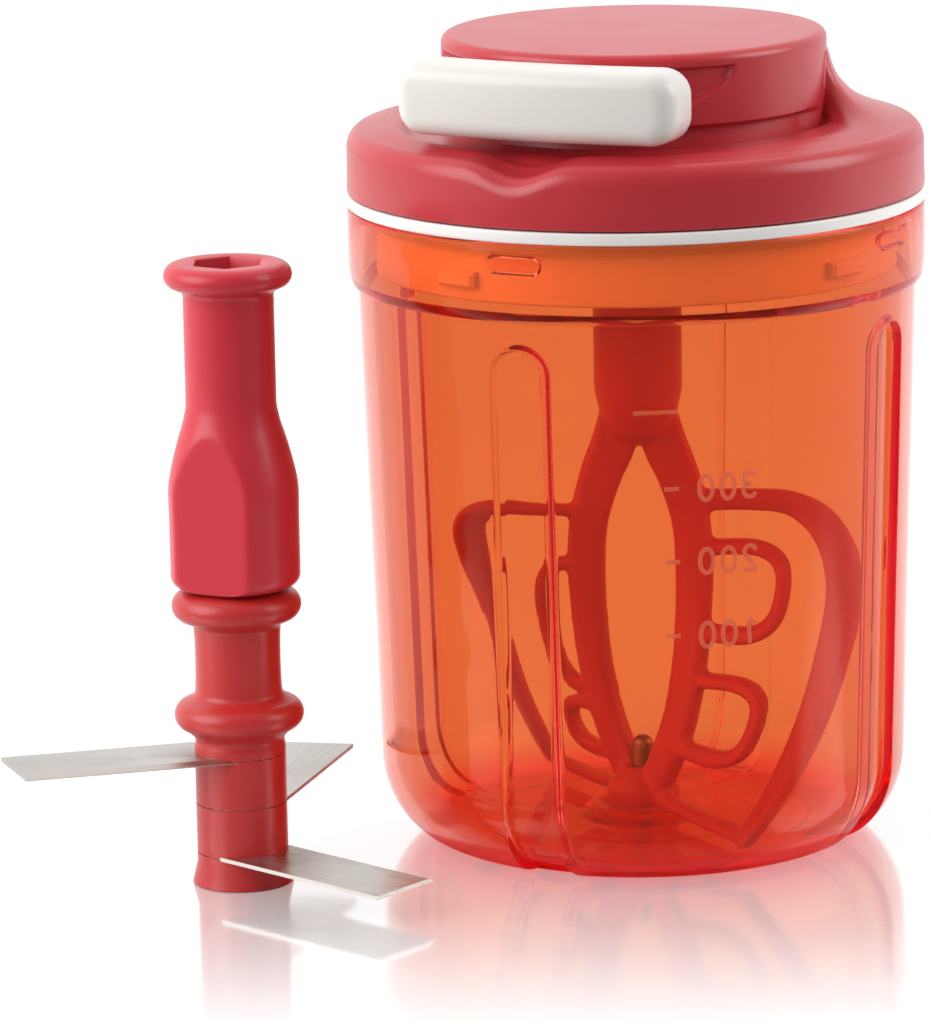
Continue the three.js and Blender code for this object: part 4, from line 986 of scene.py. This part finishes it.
class MakeHandle(bpy.types.Operator):
    """Builds the pull handle and refinishes the cord's eyelet."""

    bl_idname = "chopper.make_handle"
    bl_label = "Pull handle"

    def execute(self, context):
        handle = in_mm(context.scene.chopper_handle)
        # Off-white ABS with a polished mould: soft bright edges and a faint warm cast.
        ivory = moulded_plastic(
            "Off-white ABS, polished", handle.white, rough=0.31, grain_mm=1.6, deep_mm=0.002, tone=0.975
        )
        grip = new_object("pull_grip", handle_mesh(handle), 40)
        radius, depth, past, level = 1.5, 9, 2, 140.4  # the cord's hole in the back face
        hole = turned([(0, -depth), (radius, -depth), (radius, past), (0, past)], 32)
        place = TO_PULL @ Matrix.Translation((0, -handle.back, level)) @ Matrix.Rotation(radians(-90), 4, "X")
        cut_away(grip, [new_object("hole", moved(hole, place))], 40)
        fit_out(grip, "handle", "white", ivory, "pull_handle")
        # Drawn and polished stainless sheet, bright round its rolled edge.
        sheet = brushed_steel(
            "Stainless sheet, drawn", linear("#C4C5C6"), rough=0.22, spacing_mm=0.3, stretch=1.0
        )
        refinish(sheet, "cord_eyelet")
        return {"FINISHED"}


class MakeWhisk(bpy.types.Operator):
    """Builds the whisk: its bars are blended into one another on a fine grid."""

    bl_idname = "chopper.make_whisk"
    bl_label = "Whisk"

    def execute(self, context):
        whisk, insert = in_mm(context.scene.chopper_whisk), in_mm(context.scene.chopper_insert)
        low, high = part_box("whisk")
        made = new_object("whisk_frame", joined(*whisk_pieces(whisk, insert, low.z / MM, high.z / MM)))
        remesh = made.modifiers.new("Blend", "REMESH")
        remesh.mode = "VOXEL"
        remesh.voxel_size = whisk.detail * MM
        smooth = made.modifiers.new("Soften", "SMOOTH")
        smooth.factor = 0.5
        smooth.iterations = 5
        settle(made, 60)
        start, end = 2, 18  # the bore for the pin
        bore = turned([(0, start), (PIN_BORE, start), (PIN_BORE, end), (0, end)], 32)
        cut_away(made, [new_object("bore", bore)], 60)
        # Nylon, moulded in red: satin and slightly see-through in its thin bars.
        red = moulded_plastic(
            "Red nylon, moulded", whisk.red, rough=0.38, grain_mm=0.8, deep_mm=0.01, tone=0.9, scatter=0.1
        )
        fit_out(made, "whisk", "red_satin", red, "whisk")
        return {"FINISHED"}


class MakeInsert(bpy.types.Operator):
    """Builds the blade insert's grip, neck, spacers and foot, and refinishes its blades and core."""

    bl_idname = "chopper.make_insert"
    bl_label = "Blade insert"

    def execute(self, context):
        insert = in_mm(context.scene.chopper_insert)
        # Nylon, moulded in red: a satin skin with a fine grain that holds soft streaks of light.
        satin = {"rough": 0.34, "grain_mm": 0.6, "deep_mm": 0.012, "tone": 0.88}
        red = moulded_plastic("Red nylon, satin moulded", insert.red, **satin, scatter=0.05)
        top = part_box("insert_grip")[1].z / MM
        pieces = {
            "grip_and_socket": (grip_mesh(insert, top), "insert_grip"),
            "ringed_neck": (neck_mesh(insert), "insert_neck"),
            "upper_spacer": (spacer_mesh(insert, bottom=15.4, top=23.1), "insert_spacer_upper"),
            "lower_spacer": (spacer_mesh(insert, bottom=6.4, top=14.1), "insert_spacer_lower"),
            "standing_foot": (spacer_mesh(insert, bottom=0, top=5.1, laps_down=False), "insert_foot"),
        }
        lower_red = moulded_plastic("Red nylon, moulded neck and spacers", insert.neck_red, **satin)
        stand = over("insert_grip")
        for name, (part, node) in pieces.items():
            finish = red if node == "insert_grip" else lower_red
            fit_out(new_object(name, moved(part, stand)), "blade_insert", "red_satin", finish, node)
        # Cold-rolled stainless strip: fine lines along each blade.
        for node, azimuth in (("blade_upper", -74), ("blade_middle", 165), ("blade_lower", 47)):
            look = {"rough": 0.3, "spacing_mm": insert.grit, "turn_z": radians(azimuth), "anisotropy": 0.6}
            refinish(brushed_steel(f"Stainless strip, ground, {node}", insert.steel, **look), node)
        # Natural nylon: a dry milky ivory, seen only at the bottom of the socket's bore.
        core = moulded_plastic("Natural nylon, moulded core", linear("#E0DCD0"), **DRY_SATIN)
        refinish(core, "insert_core")
        return {"FINISHED"}


class FinishDrive(bpy.types.Operator):
    """Refinishes the pieces of the cord drive inside the lid."""

    bl_idname = "chopper.finish_drive"
    bl_label = "Drive"

    def execute(self, context):
        # Natural nylon: a milky ivory with a dry satin skin.
        nylon = moulded_plastic("Natural nylon, moulded", linear("#E2DFD6"), **DRY_SATIN)
        refinish(nylon, "drive_spindle", "spindle_bush", "cord_reel", "spring_cover")
        # Zinc-plated steel: a cool grey with soft spots of brightness.
        look = {"stretch": 2.0, "anisotropy": 0.2}
        plated = brushed_steel("Plated steel, stamped", linear("#A9ACAF"), rough=0.3, spacing_mm=0.5, **look)
        refinish(plated, "clutch_pawl_1", "clutch_pawl_2", "spring_arbor", *SCREWS)
        # Blued spring strip: dark and bright along its rolled lines.
        look = {"stretch": 3.0, "anisotropy": 0.3}
        blued = brushed_steel("Spring strip, rolled", linear("#6F7479"), rough=0.32, spacing_mm=0.25, **look)
        refinish(blued, "return_spring")
        return {"FINISHED"}


class MakeStage(bpy.types.Operator):
    """Sets up the floor, the lamps, the room's light and the camera."""

    bl_idname = "chopper.make_stage"
    bl_label = "Stage"

    def execute(self, context):
        scene = context.scene
        stage = scene.chopper_stage
        half, below = stage.floor_size / MM / 2, -0.05
        corners = [(x * half, y * half, below) for x, y in ((-1, -1), (1, -1), (1, 1), (-1, 1))]
        floor = new_object("floor", (corners, [(0, 1, 2, 3)]))
        floor.data.materials.append(self.floor_finish(stage))
        self.light_room(stage)
        self.add_lamp("key_lamp", Vector((-1.05, -0.5, 0.62)), 1.2, stage.key_power)
        self.add_lamp("fill_lamp", Vector((1.05, -0.1, 0.6)), 0.8, stage.fill_power)
        self.add_camera(scene, stage.lens)
        return {"FINISHED"}

    def seen_directly(self, add):
        """1 for what the camera sees, also through the bowl, and 0 for light and reflections."""
        path = add("LightPath").outputs
        return add("Math", {0: path["Is Camera Ray"], 1: path["Is Transmission Ray"]}, operation="MAXIMUM")

    def floor_finish(self, stage):
        """White acrylic sheet: pale and even, with a mirror that fades away from the pieces."""
        strip, strip_end = 0.045, 0.158  # where the mirror fades, towards the front and the back
        disc, disc_end = 0.18, 0.34  # and in every direction
        least = 0.02  # the mirror's share out there
        front_end, back_end = -0.3, 0.1  # between them the sheet's own light grows towards the back
        finish, add = new_finish("White acrylic sheet")
        place = add("TexCoord").outputs["Object"]
        along = add("SeparateXYZ", {0: place}).outputs["Y"]
        off = add("Math", {0: along}, operation="ABSOLUTE")
        fade = add("MapRange", {"Value": off, **span(strip_end, strip, least, stage.mirror)}, **SMOOTH)
        reach = add("VectorMath", {0: place}, operation="LENGTH").outputs["Value"]
        near = add("MapRange", {"Value": reach, **span(disc_end, disc)}, **SMOOTH)
        shine = add("Math", {0: fade, 1: near}, operation="MULTIPLY")
        matt = add("BsdfDiffuse", {"Color": stage.floor})
        glow = add("Emission", {"Color": stage.floor, "Strength": 1.1})
        soft = add("MixShader", {0: 0.6, 1: matt, 2: glow})
        # In reflections and as bounced light, the sheet is bright behind the pieces and dim in front of them.
        front = add("MapRange", {"Value": along, **span(front_end, back_end, stage.front_light)}, **SMOOTH)
        bounce = add("Mix", {"Factor": front, 6: BLACK, 7: stage.floor}, data_type="RGBA")
        dim = add("BsdfDiffuse", {"Color": bounce})
        base = add("MixShader", {0: self.seen_directly(add), 1: dim, 2: soft})
        mirror = add("BsdfGlossy", {"Color": stage.floor, "Roughness": 0.1})
        shown = add("MixShader", {0: shine, 1: base, 2: mirror})
        add("OutputMaterial", {"Surface": shown})
        return finish

    def light_room(self, stage):
        """A white room: full white to the eye, while its light comes from behind, above and the left."""
        world = bpy.data.worlds.new("White room")
        world.use_nodes = True
        bpy.context.scene.world = world
        world.node_tree.nodes.clear()
        add = partial(add_node, world.node_tree)
        axes = add("SeparateXYZ", {0: add("TexCoord").outputs["Generated"]})
        room = None
        for axis, ends in (
            ("Y", span(-0.5, 0.5, stage.front_light)),
            ("X", span(0.2, -0.8, 0.0, stage.left_light)),
            ("Z", span(0.35, 0.95, 0.0, stage.top_light)),
        ):
            share = add("MapRange", {"Value": axes.outputs[axis], **ends}, **SMOOTH)
            room = add("Math", {0: room, 1: share}, operation="ADD") if room else share
        lit = add("Math", {0: room, 1: stage.world_light}, operation="MULTIPLY")
        strength = add("Mix", {"Factor": self.seen_directly(add), 2: lit, 3: 1.0}, data_type="FLOAT")
        glow = add("Background", {"Color": WHITE, "Strength": strength})
        add("OutputWorld", {"Surface": glow})

    def add_lamp(self, name, place, size, power):
        aim = Vector((0, 0, 0.08))
        data = bpy.data.lights.new(name, "AREA")
        data.shape, data.size, data.energy = "DISK", size, power
        lamp = bpy.data.objects.new(name, data)
        lamp.location = place
        lamp.rotation_euler = (aim - place).to_track_quat("-Z", "Y").to_euler()
        bpy.context.scene.collection.objects.link(lamp)

    def add_camera(self, scene, lens):
        """The photograph's view: from the front, about 12 degrees above, turned and rolled a little."""
        distance, rise, aim_height = 1.16, radians(12.09), 0.06
        pitch, yaw, roll = radians(12.12), radians(-1.6), radians(-1.1)
        turns = ((-yaw, "Z"), (pi / 2 - pitch, "X"), (roll, "Z"))
        facing = reduce(Matrix.__matmul__, (Matrix.Rotation(angle, 4, axis) for angle, axis in turns))
        place = Vector((0, -distance * cos(rise), aim_height + distance * sin(rise)))
        data = bpy.data.cameras.new("photo_camera")
        data.sensor_fit, data.sensor_width, data.lens = "HORIZONTAL", 36, lens
        data.clip_start, data.clip_end = 0.05, 20
        camera = bpy.data.objects.new("photo_camera", data)
        camera.matrix_world = Matrix.Translation(place) @ facing
        scene.collection.objects.link(camera)
        scene.camera = camera
        scene.view_settings.view_transform = "Standard"


class ChopperPanel(bpy.types.Panel):
    """Lists the chopper's pieces and their sizes and colours."""

    bl_idname = "VIEW3D_PT_food_chopper"
    bl_label = "Food Chopper"
    bl_space_type = "VIEW_3D"
    bl_region_type = "UI"
    bl_category = "Food Chopper"

    def draw(self, context):
        for operator, name, _ in PIECES:
            box = self.layout.box()
            box.operator(operator.bl_idname)
            if name:
                values = getattr(context.scene, name)
                for value in values.__annotations__:
                    box.prop(values, value)


PIECES = (
    (MakeBowl, "chopper_bowl", BowlSettings),
    (MakeLid, "chopper_lid", LidSettings),
    (MakeHandle, "chopper_handle", HandleSettings),
    (MakeWhisk, "chopper_whisk", WhiskSettings),
    (MakeInsert, "chopper_insert", InsertSettings),
    (FinishDrive, None, None),
    (MakeStage, "chopper_stage", StageSettings),
)


def register():
    for operator, name, group in PIECES:
        if group:
            bpy.utils.register_class(group)
            setattr(bpy.types.Scene, name, PointerProperty(type=group))
        bpy.utils.register_class(operator)
    bpy.utils.register_class(ChopperPanel)


def unregister():
    bpy.utils.unregister_class(ChopperPanel)
    for operator, name, group in reversed(PIECES):
        bpy.utils.unregister_class(operator)
        if group:
            delattr(bpy.types.Scene, name)
            bpy.utils.unregister_class(group)


def main():
    """Builds every piece."""
    register()
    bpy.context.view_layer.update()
    for operator, _, _ in PIECES:
        group, name = operator.bl_idname.split(".")
        getattr(getattr(bpy.ops, group), name)()


if __name__ == "__main__":
    main()
